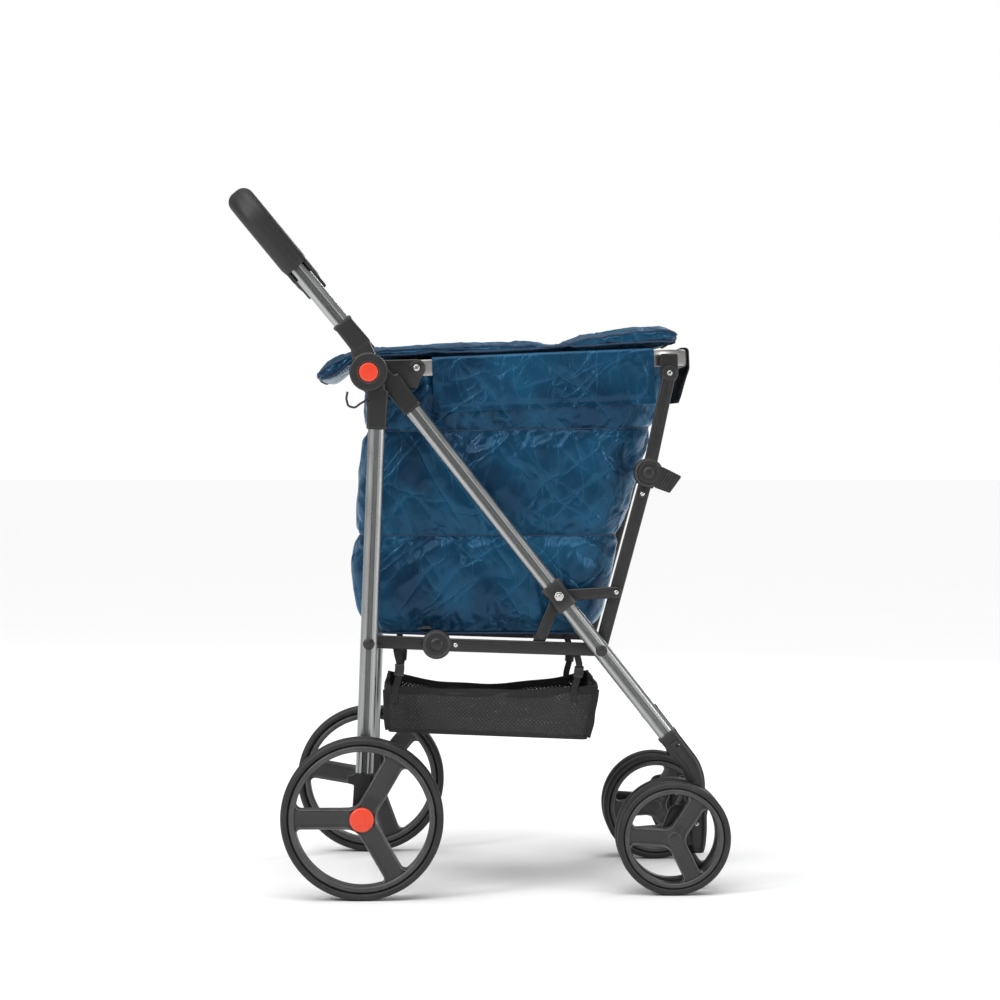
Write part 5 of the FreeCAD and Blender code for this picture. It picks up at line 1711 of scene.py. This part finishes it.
def add_cloth(shell: Shell, surface: np.ndarray, thick: float, wrap_u: bool = False, slot: int = 0,
              back: int | None = None) -> np.ndarray:
    """Adds a layer of cloth round a grid of points, closed along its border.

    Args:
        shell: what it is added to.
        surface: array (nu, nv, 3), the layer's middle.
        thick: its thickness.
        wrap_u: whether its last row joins its first.
        slot: material slot of its face.
        back: slot of its back, or the same.

    Returns:
        The face's points, array (nu, nv, 3).
    """
    normal = surface_normals(surface, wrap_u) * thick / 2
    face, behind = surface + normal, surface - normal
    shell.grid(face, wrap_u=wrap_u, slot=slot)
    shell.grid(behind, wrap_u=wrap_u, slot=slot if back is None else back)
    for edge in (0, -1):
        shell.grid(
            np.stack([face[:, edge],
                      surface[:, edge] + (surface[:, edge] - surface[:, -2 if edge else 1]) * 0.05,
                      behind[:, edge]], 1), wrap_u=wrap_u, slot=slot)
        if not wrap_u:
            shell.grid(np.stack([face[edge], surface[edge], behind[edge]]), slot=slot)
    return face


def mesh_points(data: bpy.types.Mesh) -> np.ndarray:
    """Places of a mesh's vertices, array (n, 3)."""
    flat = np.empty(len(data.vertices) * 3)
    data.vertices.foreach_get("co", flat)
    return flat.reshape(-1, 3)


def puff(made: bpy.types.Object, weight: Weight, held: np.ndarray | None = None,
         frames: int = 20) -> None:
    """Lets a sewn piece's cloth swell and crease, and keeps the result in its mesh.

    The cloth is a little longer than its shape, is pressed from inside, and has no weight.
    No point may move further than the piece's cap.

    Args:
        made: the piece, changed in place.
        weight: how it is filled.
        held: for each vertex, how firmly it is sewn down, or nothing.
        frames: steps of the simulation.
    """
    pressure, spare, cap = weight.value
    start = mesh_points(made.data)
    cloth = made.modifiers.new("cloth", "CLOTH")
    setting = cloth.settings
    setting.quality, setting.mass = 5, 0.15
    setting.tension_stiffness = setting.compression_stiffness = 20.0
    setting.shear_stiffness, setting.bending_stiffness = 6.0, 0.05
    setting.shrink_min = -spare
    setting.use_pressure, setting.uniform_pressure_force = True, pressure
    setting.effector_weights.gravity = 0.0
    if held is not None:
        group = made.vertex_groups.new(name="sewn")
        for level in np.unique(np.round(held, 1)):
            if level > 0:
                group.add(
                    np.flatnonzero(np.round(held, 1) == level).tolist(), float(level), "REPLACE")
        setting.vertex_group_mass = "sewn"
    cloth.point_cache.frame_start, cloth.point_cache.frame_end = 1, frames
    scene = bpy.context.scene
    for step in range(1, frames + 1):
        scene.frame_set(step)
    graph = bpy.context.evaluated_depsgraph_get()
    moved = mesh_points(made.evaluated_get(graph).data) - start
    made.modifiers.clear()
    made.vertex_groups.clear()
    scene.frame_set(1)
    reach = np.linalg.norm(moved, axis=1)
    moved *= np.minimum(1.0, cap * MM / np.maximum(reach, 1e-9))[:, None]
    made.data.vertices.foreach_set("co", (start + moved).ravel())
    made.data.update()
    LOG.info("%s swelled by up to %.1f mm", made.name, min(reach.max() / MM, cap))


def refine(made: bpy.types.Object, levels: int = 1) -> None:
    """Subdivides a piece and keeps the result."""
    finer = made.modifiers.new("finer", "SUBSURF")
    finer.levels = finer.render_levels = levels
    apply_modifiers(made)
    made.data.shade_smooth()


def join_shell(made: bpy.types.Object, other: bpy.types.Object) -> bpy.types.Object:
    """Joins a second object's faces to the first, matching their material slots by name."""
    slots = {material.name: i for i, material in enumerate(made.data.materials)}
    for material in other.data.materials:
        if material.name not in slots:
            slots[material.name] = len(made.data.materials)
            made.data.materials.append(material)
    number = np.empty(len(other.data.polygons), np.int32)
    other.data.polygons.foreach_get("material_index", number)
    table = np.array([slots[material.name] for material in other.data.materials], np.int32)
    other.data.polygons.foreach_set("material_index", table[number])
    work = bmesh.new()
    work.from_mesh(made.data)
    work.from_mesh(other.data)
    work.to_mesh(made.data)
    work.free()
    bpy.data.objects.remove(other)
    return made


def lay_on(made: bpy.types.Object, path: np.ndarray, out: float) -> np.ndarray:
    """Moves a path's points to the nearest places on a piece, and out along its normals."""
    graph = bpy.context.evaluated_depsgraph_get()
    tree = BVHTree.FromObject(made, graph)
    found = [tree.find_nearest(point) for point in path.tolist()]
    return np.array([np.array(place) + out * np.array(normal) for place, normal, _, _ in found])


def smoothed(values: np.ndarray, rounds: int) -> np.ndarray:
    """Rows averaged with their neighbours, ends kept."""
    values = values.copy()
    for _ in range(rounds):
        values[1:-1] = (values[:-2] + 2 * values[1:-1] + values[2:]) / 4
    return values


def plan_loop(rear: float, front: float, half: float, corner_rear: float, corner_front: float,
              count: int) -> np.ndarray:
    """Rounded rectangle in plan, from the middle of its rear, at even steps of its length."""
    corners = np.array(
        [(rear, 0), (rear, -half), (front, -half), (front, half), (rear, half), (rear, 0)])
    loop = round_path(corners, [corner_rear, corner_front, corner_front, corner_rear], 12)
    return resample(loop[:-1], count, closed=True)


def stitches(shell: Shell, path: np.ndarray, normal: np.ndarray, pitch: float = 4.6 * MM,
             slot: int = 0) -> None:
    """Adds a row of stitches: small six-sided spindles sunk by half into the cloth.

    Args:
        shell: what they are added to.
        path: array (n, 3), the seam.
        normal: array (n, 3), the cloth's outward direction along it.
        pitch: distance from one stitch to the next.
        slot: material slot.
    """
    length = float(np.linalg.norm(np.diff(path, axis=0), axis=1).sum())
    count = max(2, int(length / pitch))
    place = resample(path, count * 2)
    run = np.linspace(0, len(path) - 1, count * 2)
    out = np.stack([np.interp(run, np.arange(len(path)), normal[:, k]) for k in range(3)], 1)
    for start, end, lift in zip(place[0::2], place[1::2], out[0::2]):
        way = (end - start) * 0.12
        spine = np.array(
            [start + way, start + way * 2.2, end - way * 2.2, end - way]) + lift * 0.15 * MM
        size = np.array([0.12, 0.42, 0.42, 0.12])[:, None, None] * MM
        turn = np.arange(4) * math.pi / 2
        ring = np.stack([np.cos(turn), np.sin(turn)], 1)
        shell.sweep(spine, ring * size, lift, slot)


# ------------------------------------------------------------------ bag

@dataclass
class Bag:
    """The padded nylon bag: three puffed bands between seams, a lining, and its floor."""

    rear: tuple[tuple[float, float], ...] = (
        (0.0, 14), (0.03, 3), (0.08, -10), (0.25, -19), (0.37, -15), (0.6, -8), (0.77, -2),
        (1.0, 8))
    front: tuple[tuple[float, float], ...] = (
        (0.0, 296), (0.03, 306), (0.08, 313), (0.25, 329), (0.6, 365), (1.0, 425))
    half: tuple[tuple[float, float], ...] = (
        (0.0, 126), (0.03, 131), (0.08, 134), (0.3, 135.5), (0.8, 136), (0.93, 138.5), (1.0, 139))
    floor: float = 352.5 * MM
    top: float = 731 * MM
    slope: float = 8.5 * MM
    seams: tuple[float, ...] = (0.0, 0.357, 0.743, 1.0)
    bulge: float = 4.0 * MM
    around: int = 236
    rows: int = 84
    wall: float = 6 * MM
    middle: float = 217 * MM
    run: float = 209 * MM

    def ring(self, share: np.ndarray, inset: float = 0.0, count: int = 0) -> np.ndarray:
        """Rows of the bag: at each share of its height, its plan loop.

        Height is the share of the rise plus a slope to the front that grows with its cube.

        Args:
            share: array (n,).
            inset: how far inside the outer cloth.
            count: points round each row.

        Returns:
            Array (n, count, 3).
        """
        sizes = [
            np.interp(share, *np.array(line).T) * MM for line in (self.rear, self.front, self.half)]
        fine = [smoothed(size, 6) for size in sizes]
        rows = np.stack(
            [plan_loop(HUB[0] + rear + inset, HUB[0] + front - inset, half - inset,
                       24 * MM - inset, (34 + 22 * at) * MM - inset, count or self.around) for at,
                       rear, front, half in zip(share, *fine)])
        lift = self.floor + share * (self.top - self.floor)
        tip = self.tip(rows[..., 0])
        return np.concatenate([rows, (lift[:, None] + share[:, None] ** 3 * tip)[..., None]], -1)

    def tip(self, x: np.ndarray) -> np.ndarray:
        """Rise of the bag's rim over its level middle, at each place along it."""
        return self.slope * (x - HUB[0] - self.middle) / self.run

    def panels(self, share: np.ndarray) -> tuple[np.ndarray, np.ndarray]:
        """For each share of the height, how far it stands out of its seams, and how near one is."""
        seams = np.array(self.seams)
        number = np.clip(np.searchsorted(seams, share, side="right") - 1, 0, len(seams) - 2)
        at = (share - seams[number]) / (seams[number + 1] - seams[number])
        stands = np.sin(math.pi * np.clip(at, 0, 1)) ** 0.55
        near = np.abs(share[:, None] - seams).min(1) * (self.top - self.floor)
        return stands, near

    def outer(self) -> tuple[np.ndarray, np.ndarray]:
        """The outer cloth before it swells, with its distance from the nearest seam.

        Each band stands out by a flattened half sine; long creases run through it, and
        short upright gathers fade away from its seams.
        """
        share = np.unique(np.concatenate([np.linspace(0, 1, self.rows), self.seams]))
        surface = self.ring(share)
        normal = -surface_normals(surface.transpose(1, 0, 2), True).transpose(1, 0, 2)
        middle = surface.mean((0, 1))
        normal *= np.sign(((surface - middle) * normal).sum(-1))[..., None]
        stands, near = self.panels(share)
        gather = crest(surface, 24 * MM, 3, (1.0, 1.0, 0.12)) * np.exp(-near / (15 * MM))[:, None]
        sag = waves(surface, 150 * MM, 5)
        folds = (crest(surface, 90 * MM, 11, (1.0, 1.0, 0.55)) * 2.4
                 + crest(surface, 48 * MM, 12, (1.0, 1.0, 0.8)) * 1.3)
        soft = smooth_step(near, 0.0, 18 * MM)[:, None]
        out = self.bulge * stands[:, None] + MM * (
            3.2 * gather * smooth_step(near, 0, 3 * MM)[:, None] + soft * (folds + 0.9 * sag) - 0.8)
        return surface + normal * out[..., None], near

    def build(self) -> None:
        """Builds the outer cloth, lets it swell, then adds seams, lining and floor."""
        surface, near = self.outer()
        shell = Shell().grid(surface.transpose(1, 0, 2), wrap_u=True)
        made = shell.mesh("bag_body", [BLUE, BLUE_SHADED, PIPING], sharp=180)
        points = mesh_points(made.data)
        gap = np.interp(self.share_of(points), np.unique(np.concatenate(
            [np.linspace(0, 1, self.rows), self.seams])), near)
        puff(made, Weight.PUFFED, (gap < 2.6 * MM).astype(float))
        refine(made)
        join_shell(made, self.inside(surface))
        self.add_seams(made)
        settle(made, BLUE.slot, "rear_frame", "shopping_bag")
        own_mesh(made)

    def share_of(self, points: np.ndarray) -> np.ndarray:
        """Share of the bag's height at each point, by two steps from the level height."""
        share = (points[:, 2] - self.floor) / (self.top - self.floor)
        tip = self.tip(points[:, 0])
        for _ in range(3):
            share = (points[:, 2] - self.floor - share ** 3 * tip) / (self.top - self.floor)
        return np.clip(share, 0, 1)

    def inside(self, surface: np.ndarray) -> bpy.types.Object:
        """The lining, the rim that joins it to the outer cloth, and the floor under both."""
        share = np.linspace(0.02, 1.0, 14)
        lining = self.ring(share, self.wall)
        shell = Shell()
        # Lining, rim and floor take slot 1, the darker copy of the nylon: painted shade inside and
        # under the bag.
        shell.grid(lining.transpose(1, 0, 2), wrap_u=True, slot=1)
        rim = np.stack(
            [surface[-1], (surface[-1] + lining[-1]) / 2 + [0, 0, 1.2 * MM], lining[-1]], 1)
        shell.grid(rim, wrap_u=True, slot=1)
        for loop, way in ((lining[0], 0.0), (surface[0], -2.0 * MM)):
            middle = loop.mean(0) + [0, 0, way]
            share = np.array([0.0, 0.06, 0.3, 0.6, 0.85, 0.999])[:, None, None]
            rows = loop + (middle - loop) * share
            rows[1:, :, 2] = loop[:, 2].mean() + way
            shell.grid(rows, wrap_v=True, slot=1)
            shell.cap(rows[-1], slot=1)
        return shell.mesh("bag_inside", [BLUE, BLUE_SHADED], sharp=60)

    def add_seams(self, made: bpy.types.Object) -> None:
        """Corded seams along the bands, and a cord round the bottom."""
        shell = Shell()
        for seam in self.seams[1:3]:
            level = self.ring(np.array([seam]))[0]
            path = lay_on(made, level, 0.2 * MM)
            shell.sweep(path, box_section(1.5 * MM, 1.5 * MM, 0.74 * MM, 3), Z_AXIS, 2, closed=True)
        level = self.ring(np.array([0.0]), -1.2 * MM)[0]
        shell.sweep(level, box_section(3 * MM, 3 * MM, 1.4 * MM, 4), Z_AXIS, 2, closed=True)
        join_shell(made, shell.mesh("bag_seams", [BLUE, BLUE_SHADED, PIPING]))


# ------------------------------------------------------------------ ring, flaps and lid

@dataclass
class Top:
    """The aluminium ring, the flaps sewn over it, and the padded lid that hinges on its front."""

    tilt: float = math.radians(2.4)
    reach: float = 377.0 * MM
    tail: float = 14.5 * MM
    corner: float = 62 * MM
    over: float = 12.6 * MM
    lid_rear: float = -137.0
    lid_front: float = 361.0

    def place(self, along: np.ndarray, y: np.ndarray, up: np.ndarray) -> np.ndarray:
        """Points from the ring's own frame: along it, across, and up from its middle plane."""
        along, y, up = np.broadcast_arrays(along, y, up)
        c, s = math.cos(self.tilt), math.sin(self.tilt)
        return np.stack(
            [RING_PIVOT[0] + along * c - up * s, y, RING_PIVOT[1] + along * s + up * c], -1)

    def build_ring(self) -> None:
        """The band: a slightly crowned flat section along a U with round front corners."""
        half = RING_Y - 2.25 * MM
        front = self.reach - 2.25 * MM
        corners = np.array(
            [(-self.tail, -half, 0), (front, -half, 0), (front, half, 0), (-self.tail, half, 0)])
        flat = resample(round_path(corners, [self.corner, self.corner], 16), 110)
        path = self.place(flat[:, 0], flat[:, 1], flat[:, 2])
        turn = np.linspace(0, 2 * math.pi, 28, endpoint=False)
        section = np.stack(
            [11.5 * MM * np.sign(np.cos(turn)) * np.abs(np.cos(turn)) ** 0.5,
             2.25 * MM * np.sign(np.sin(turn)) * np.abs(np.sin(turn)) ** 0.6], 1)
        Shell().sweep(path, section, Z_AXIS).piece(
            "ring_band", [BAND], "ring", "top_ring", sharp=60)
        lugs, plates = Shell(), Shell()
        for _, side in SIDES:
            lugs.slab(
                disc_hull([(*LINK_TOP, 12.8 * MM),
                           (LINK_TOP[0] - 9 * MM, LINK_TOP[1] + 24 * MM, 3 * MM),
                           (LINK_TOP[0] + 9 * MM, LINK_TOP[1] + 24 * MM, 3 * MM)]),
                side * (RING_Y + 5.2 * MM), 9.6 * MM, 1.5 * MM)
            y = side * OUTER_BAR_Y
            low = RING_PIVOT + np.array([-2, -26]) * MM
            plates.slab(
                disc_hull([(*HUB, 17.5 * MM), (*RING_PIVOT, 12 * MM), (*low, 3.5 * MM)], 80), y,
                BAR_DEEP, 2 * MM)
            plates.slab(
                disc_hull([(*RING_PIVOT, 9 * MM)]), side * (RING_Y + 6 * MM), 11 * MM, 1 * MM)
            face = side * (OUTER_BAR_Y + BAR_DEEP / 2)
            plates.dome(RING_PIVOT, face - side * 0.1 * MM, side, 9.6 * MM, 0.9 * MM, 0.5 * MM, 40)
            screw_head(plates, RING_PIVOT, face + side * 1.1 * MM, side, 4.6 * MM)
        lugs.piece("ring_ears", [STEEL_BLACK], "ring", "ring_lugs")
        plates.piece("ring_plates", [STEEL_BLACK, ZINC], "rear_frame", "ring_brackets")

    def build_flaps(self) -> None:
        """Side flaps: from inside the ring, over it and down outside, with a sewn border."""
        shell = Shell()
        along = np.linspace(21.5 * MM, 326.5 * MM, 92)
        for _, side in SIDES:
            y0 = RING_Y + 1.9 * MM
            route = np.array([(y0 - 14 * MM, self.over + 1.2 * MM), (y0, self.over + 1.2 * MM),
                              (y0 + 0.3 * MM, -10 * MM), (y0 + 1.6 * MM, -62 * MM)])
            route = resample(
                round_path(np.pad(route, ((0, 0), (0, 1))), [4 * MM, 90 * MM], 10)[:, :2], 34)
            middle = self.place(along[:, None], side * route[:, 0], route[:, 1])
            down = np.linspace(0, 1, 34)[None]
            end = np.minimum(along - along[0], along[-1] - along)[:, None]
            border = np.minimum(end, (1 - down) * 92 * MM)
            inner = smooth_step(border, 7 * MM, 13 * MM) * smooth_step(down, 0.2, 0.35)
            crease = (crest(middle, 60 * MM, 21, (1, 0.3, 0.8)) * 1.3
                      + crest(middle, 120 * MM, 23, (1, 0.3, 1.2)) * 1.3
                      + 0.5 * waves(middle, 90 * MM, 22))
            edge = 1 - smooth_step(np.abs(border - 7 * MM), 0.6 * MM, 2.0 * MM)
            out = MM * (inner * (0.6 + crease) - 0.8 * edge * (down > 0.25)
                        + 1.0 * np.sin(along / (41 * MM))[:, None] * smooth_step(down, 0.5, 1.0))
            middle[..., 1] += side * out
            add_cloth(shell, middle, 2.0 * MM)
            low = np.argmin(np.abs(1 - down[0] - 7 / 92))
            first = int(np.argmin(np.abs(end[:, 0] - 7 * MM)))
            last = len(along) - 1 - first
            seam = np.concatenate(
                [middle[first, 10:low], middle[first:last + 1, low], middle[last, 10:low][::-1]])
            seam = resample(seam + [0, side * 1.1 * MM, 0], 200)
            stitches(shell, seam, np.broadcast_to([0, side, 0.0], seam.shape), 4.4 * MM, 1)
        made = shell.piece("side_covers", [BLUE, PIPING], "ring", "side_flaps", sharp=60)

    def build_front(self) -> None:
        """Black front flap: over the ring, down its front and back in under it."""
        front, over = self.reach + 1.6 * MM, self.over + 1.2 * MM
        route = np.array([(front - 10 * MM, over), (front, over), (front, -over - 1 * MM),
                          (front - 19 * MM, -over - 48 * MM)])
        route = resample(
            round_path(np.pad(route, ((0, 0), (0, 1))), [4 * MM, 12 * MM], 8)[:, :2], 30)
        across = np.linspace(-94 * MM, 94 * MM, 50)
        middle = self.place(route[:, 0][None], across[:, None], route[:, 1][None])
        middle[..., 0] += MM * smooth_step(
            np.linspace(0, 1, 30), 0.5, 1.0) * 1.2 * waves(middle, 90 * MM, 31)
        shell = Shell()
        add_cloth(shell, middle, 1.8 * MM)
        made = shell.piece("front_cover", [BLACK_CLOTH], "ring", "front_flap", sharp=60)

    def lid_rows(self) -> tuple[np.ndarray, np.ndarray, np.ndarray]:
        """Along the lid: its middle height, its half thickness and its half width."""
        under = 15.6
        low = [(self.lid_rear, -11), (-130, -16), (-117, -17), (-103, -8), (-90, 10),
               (-80, under + 1), (350, under + 1), (self.lid_front, under + 6)]
        high = [(self.lid_rear, -8), (-130, 6), (-117, 16), (-87, under + 15), (-40, under + 14),
                (130, under + 17), (165, under + 13), (188, under + 5), (205, under + 11),
                (232, under + 21), (270, under + 26), (338, under + 30), (354, under + 26),
                (self.lid_front, under + 12)]
        along = np.linspace(self.lid_rear, self.lid_front, 140)
        low_line = smoothed(np.interp(along, *np.array(low, float).T), 5)
        high_line = smoothed(np.interp(along, *np.array(high, float).T), 5)
        ends = np.minimum(along - self.lid_rear, self.lid_front - along)
        half = 141.5 - 26 * (1 - np.sqrt(np.clip(1 - (1 - np.clip(ends / 30, 0, 1)) ** 2, 0, 1)))
        return (np.stack([along, (low_line + high_line) / 2], 1) * MM,
                (high_line - low_line) / 2 * MM, half * MM)

    def build_lid(self) -> None:
        """The lid: a puffed form swelled as cloth, with two lines of piping round its edge."""
        line, thick, half = self.lid_rows()
        turn = np.linspace(0, 2 * math.pi, 72, endpoint=False)
        c, s = np.cos(turn), np.sin(turn)
        y = half[:, None] * np.sign(c) * np.abs(c) ** 0.28
        up = np.maximum(thick - 1.5 * MM, 1.6 * MM)[:, None] * np.sign(s) * np.abs(s) ** 0.55
        surface = self.place(line[:, :1], y, line[:, 1:] + up)
        shell = Shell().grid(surface, wrap_v=True)
        shell.cap(surface[0]).cap(surface[-1])
        made = shell.mesh("lid_pad", [BLUE, PIPING, BLUE_SHADED], sharp=180)
        fused(made, 5 * MM, 2)
        puff(made, Weight.LINED)
        refine(made)
        points = mesh_points(made.data)
        normal = np.empty(len(points) * 3)
        made.data.vertices.foreach_get("normal", normal)
        normal = normal.reshape(-1, 3)
        out = MM * (1.6 * crest(points, 95 * MM, 41) + 1.0 * crest(points, 42 * MM, 42) - 0.5)
        made.data.vertices.foreach_set(
            "co", (points + normal * out[:, None] * (normal[:, 2:] > -0.3)).ravel())
        # Faces turned downward take the darker copy of the nylon: painted shade under the lid.
        facing = np.empty(len(made.data.polygons) * 3)
        made.data.polygons.foreach_get("normal", facing)
        under = facing.reshape(-1, 3)[:, 2] < -0.45
        made.data.polygons.foreach_set("material_index", np.where(under, 2, 0).astype(np.int32))
        piping = Shell()
        for level, grow in ((0.62, 1.5), (-0.62, 1.5)):
            rows = slice(1, -1)
            near = self.place(line[rows, 0], -half[rows], line[rows, 1] + level * thick[rows])
            far = self.place(line[rows, 0], half[rows], line[rows, 1] + level * thick[rows])
            loop = resample(np.concatenate([near, far[::-1]]), 420, closed=True)
            piping.sweep(lay_on(made, loop, grow * 0.5 * MM),
                         box_section(3.2 * MM, 3.2 * MM, 1.5 * MM, 4), Z_AXIS, 1, closed=True)
        join_shell(made, piping.mesh("lid_piping", [BLUE, PIPING]))
        settle(made, BLUE.slot, "lid", "lid")

    def build(self) -> None:
        """Builds the ring and everything sewn to it."""
        self.build_ring()
        self.build_flaps()
        self.build_front()
        self.build_lid()


# ------------------------------------------------------------------ basket

@dataclass
class Basket:
    """Net tray under the bag, with bound edges, and the four straps it hangs on."""

    start: float = 20 * MM
    end: float = 313 * MM
    half: float = 133.5 * MM
    rim: float = 275 * MM
    base: float = 207.5 * MM
    around: int = 150
    sag_near: float = 5 * MM
    sag_far: float = 20 * MM
    rake: float = 12 * MM

    def walls(self) -> np.ndarray:
        """Side walls: a rounded plan that leans in to the base, with a rim that hangs low."""
        up = np.linspace(0, 1, 14)
        rows = []
        for share in up:
            rear = HUB[0] + self.start + (1 - share) * 5 * MM
            front = HUB[0] + self.end - (1 - share) * 14 * MM
            plan = plan_loop(
                rear, front, self.half - (1 - share) * 3 * MM, 9 * MM, 9 * MM, self.around)
            along = np.clip((plan[:, 0] - HUB[0] - self.start) / (self.end - self.start), 0, 1)
            sag = np.where(
                plan[:, 1] < 0, self.sag_near, self.sag_far) * np.sin(math.pi * along) ** 0.8
            sag *= smooth_step(np.abs(plan[:, 1]), 0.6 * self.half, 0.95 * self.half)
            floor = self.base + self.rake * (1 - along)
            rows.append(
                np.stack([plan[:, 0], plan[:, 1], floor + share * (self.rim - sag - floor)], 1))
        surface = np.stack(rows, 1)
        push = (1.8 * waves(surface, 95 * MM, 51) + 1.0 * waves(surface, 45 * MM, 52)) * MM
        push *= np.sin(math.pi * up) ** 0.7
        surface[..., :2] += surface_normals(surface, True)[..., :2] * push[..., None]
        return surface

    def build(self) -> None:
        """Builds net walls, floor, bound edges and the straps."""
        shell, walls = Shell(), self.walls()
        add_cloth(shell, walls, 0.9 * MM, wrap_u=True)
        x = np.linspace(self.start + 6 * MM, self.end - 15 * MM, 30)
        y = np.linspace(-self.half + 4 * MM, self.half - 4 * MM, 26)
        along = (x - self.start) / (self.end - self.start)
        drop = 3 * MM * np.sin(
            math.pi * np.linspace(0, 1, 26))[None] * np.sin(math.pi * along)[:, None]
        floor = np.stack(
            [np.broadcast_to(HUB[0] + x[:, None], drop.shape), np.broadcast_to(y, drop.shape),
             self.base + self.rake * (1 - along)[:, None] - drop + 0.5 * MM], -1)
        add_cloth(shell, floor, 0.9 * MM)
        rim = resample(walls[:, -1], 220, closed=True)
        ripple = np.stack(
            [waves(rim, 60 * MM, 53), waves(rim, 60 * MM, 54), waves(rim, 80 * MM, 55)], 1)
        shell.sweep(rim + 0.7 * MM * ripple, box_section(11 * MM, 2.6 * MM, 1.1 * MM, 4), Z_AXIS,
                    1, closed=True)
        shell.sweep(resample(walls[:, 0], 200, closed=True),
                    box_section(7 * MM, 2.4 * MM, 1.0 * MM, 4), Z_AXIS, 1, closed=True)
        corner = [int(np.argmin(np.linalg.norm(walls[:, 6, :2] - [HUB[0] + cx, cy], axis=1)))
                  for cx in (self.start, self.end - 7 * MM) for cy in (-self.half, self.half)]
        for at in corner:
            side = math.copysign(1.0, walls[at, 6, 1])
            shell.sweep(walls[at] + [0, side * 0.2 * MM, 0],
                        box_section(13 * MM, 2.6 * MM, 1.1 * MM, 4), X_AXIS, 1)
        made = shell.piece("net_tray", [NET, BLACK_CLOTH], "rear_frame", "mesh_basket", sharp=60)
        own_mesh(made)
        self.build_straps()

    def build_straps(self) -> None:
        """Webbing from the rim to the rails, looped over a slider half way up."""
        shell = Shell()
        for x, head_y, head_z in (
                (34 * MM, INNER_BAR_Y - 5.6 * MM, 345 * MM),
                (281 * MM, OUTER_BAR_Y - 5.6 * MM, 339 * MM)):
            for _, side in SIDES:
                foot = self.half + 2.6 * MM
                route = np.array(
                    [(0, foot, 256), (0, foot + 0.2 * MM, 276), (5, foot + 3 * MM, 292),
                     (7, head_y - 4 * MM, 310), (3, head_y, 324), (0, head_y, head_z / MM)])
                path = np.stack(
                    [HUB[0] + x + route[:, 0] * MM, side * route[:, 1], route[:, 2] * MM], 1)
                path = smoothed(resample(path, 40), 8)
                shell.sweep(path, box_section(9 * MM, 1.6 * MM, 0.7 * MM, 4), X_AXIS, 0)
                hold = path[17:25] + [0, side * 0.2 * MM, 0]
                shell.sweep(resample(hold, 8), box_section(13 * MM, 5 * MM, 1.8 * MM, 5), X_AXIS, 1)
        made = shell.piece(
            "basket_webbing", [WEBBING, PLASTIC], "rear_frame", "basket_straps", sharp=60)
        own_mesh(made)


# ------------------------------------------------------------------ studio

@dataclass(frozen=True)
class Painted(Finish):
    """Plain pale floor."""

    def dress(self, g: Graph, shader: Node, places: Node) -> None:
        """Nearly even tone."""
        tone = g.noise(places.outputs["Object"], 3.0, 2.0)
        g.dress(shader, {"Base Color": g.between(tone, self.shade(0.99), self.shade(1.01)),
                         "Roughness": 0.9})


@dataclass
class Studio:
    """Camera, pale floor and soft lights."""

    place: tuple[float, float, float] = (-0.0447, -4.12, 0.62)
    lens: float = 104.1
    yaw: float = -1.08
    pitch: float = 1.2

    def build(self) -> None:
        """Puts the camera, the floor and the lights in the scene."""
        scene = bpy.context.scene
        scene.view_settings.view_transform = "Standard"
        lens = bpy.data.cameras.new("camera")
        lens.lens, lens.sensor_width = self.lens, 36.0
        camera = bpy.data.objects.new("camera", lens)
        camera.location = self.place
        camera.rotation_euler = (math.radians(90 - self.pitch), 0.0, math.radians(self.yaw))
        scene.collection.objects.link(camera)
        scene.camera = camera
        floor = bpy.data.meshes.new("floor")
        size = 40.0
        floor.from_pydata(
            [(-size, -size, 0), (size, -size, 0), (size, size, 0), (-size, size, 0)], [],
            [(0, 1, 2, 3)])
        floor.materials.append(Painted("pale_floor", "floor", (0.88, 0.88, 0.88)).material())
        ground = bpy.data.objects.new("floor", floor)
        scene.collection.objects.link(ground)
        world = bpy.data.worlds.new("studio")
        world.use_nodes = True
        g = Graph(world.node_tree)
        sky = world.node_tree.nodes["Background"]
        sky.inputs[0].default_value = (1.0, 1.0, 1.0, 1.0)
        seen = g.node("ShaderNodeLightPath").outputs["Is Camera Ray"]
        g.feed(sky.inputs[1], g.span(seen, 0.0, 1.0, 0.32, 1.0))
        scene.world = world
        sun = bpy.data.lights.new("sky", "SUN")
        sun.energy, sun.angle = 2.6, math.radians(70)
        high = bpy.data.objects.new("sky", sun)
        high.rotation_euler = (math.radians(12), math.radians(-8), 0.0)
        scene.collection.objects.link(high)
        for name, place, power, wide in (
                ("key", (-2.4, -2.3, 2.2), 46.0, 0.9), ("fill", (2.8, -2.0, 1.2), 26.0, 0.7),
                ("back", (1.6, 2.8, 2.0), 30.0, 1.2)):
            light = bpy.data.lights.new(name, "AREA")
            light.energy, light.size = power, wide
            lamp = bpy.data.objects.new(name, light)
            lamp.location = place
            way = np.array([0.0, 0.0, 0.5]) - np.array(place)
            lamp.rotation_euler = (
                math.acos(float(-unit(way)[2])), 0.0, math.atan2(-way[0], way[1]))
            scene.collection.objects.link(lamp)


def main() -> None:
    """Builds every sub-assembly in order."""
    logging.basicConfig(level=logging.INFO, format="%(message)s")
    Studio().build()
    for assembly in (Frames(), Handle(), Linkage(), RunningGear(), Bag(), Top(), Basket()):
        LOG.info("building %s", type(assembly).__name__)
        assembly.build()


if __name__ == "__main__":
    main()
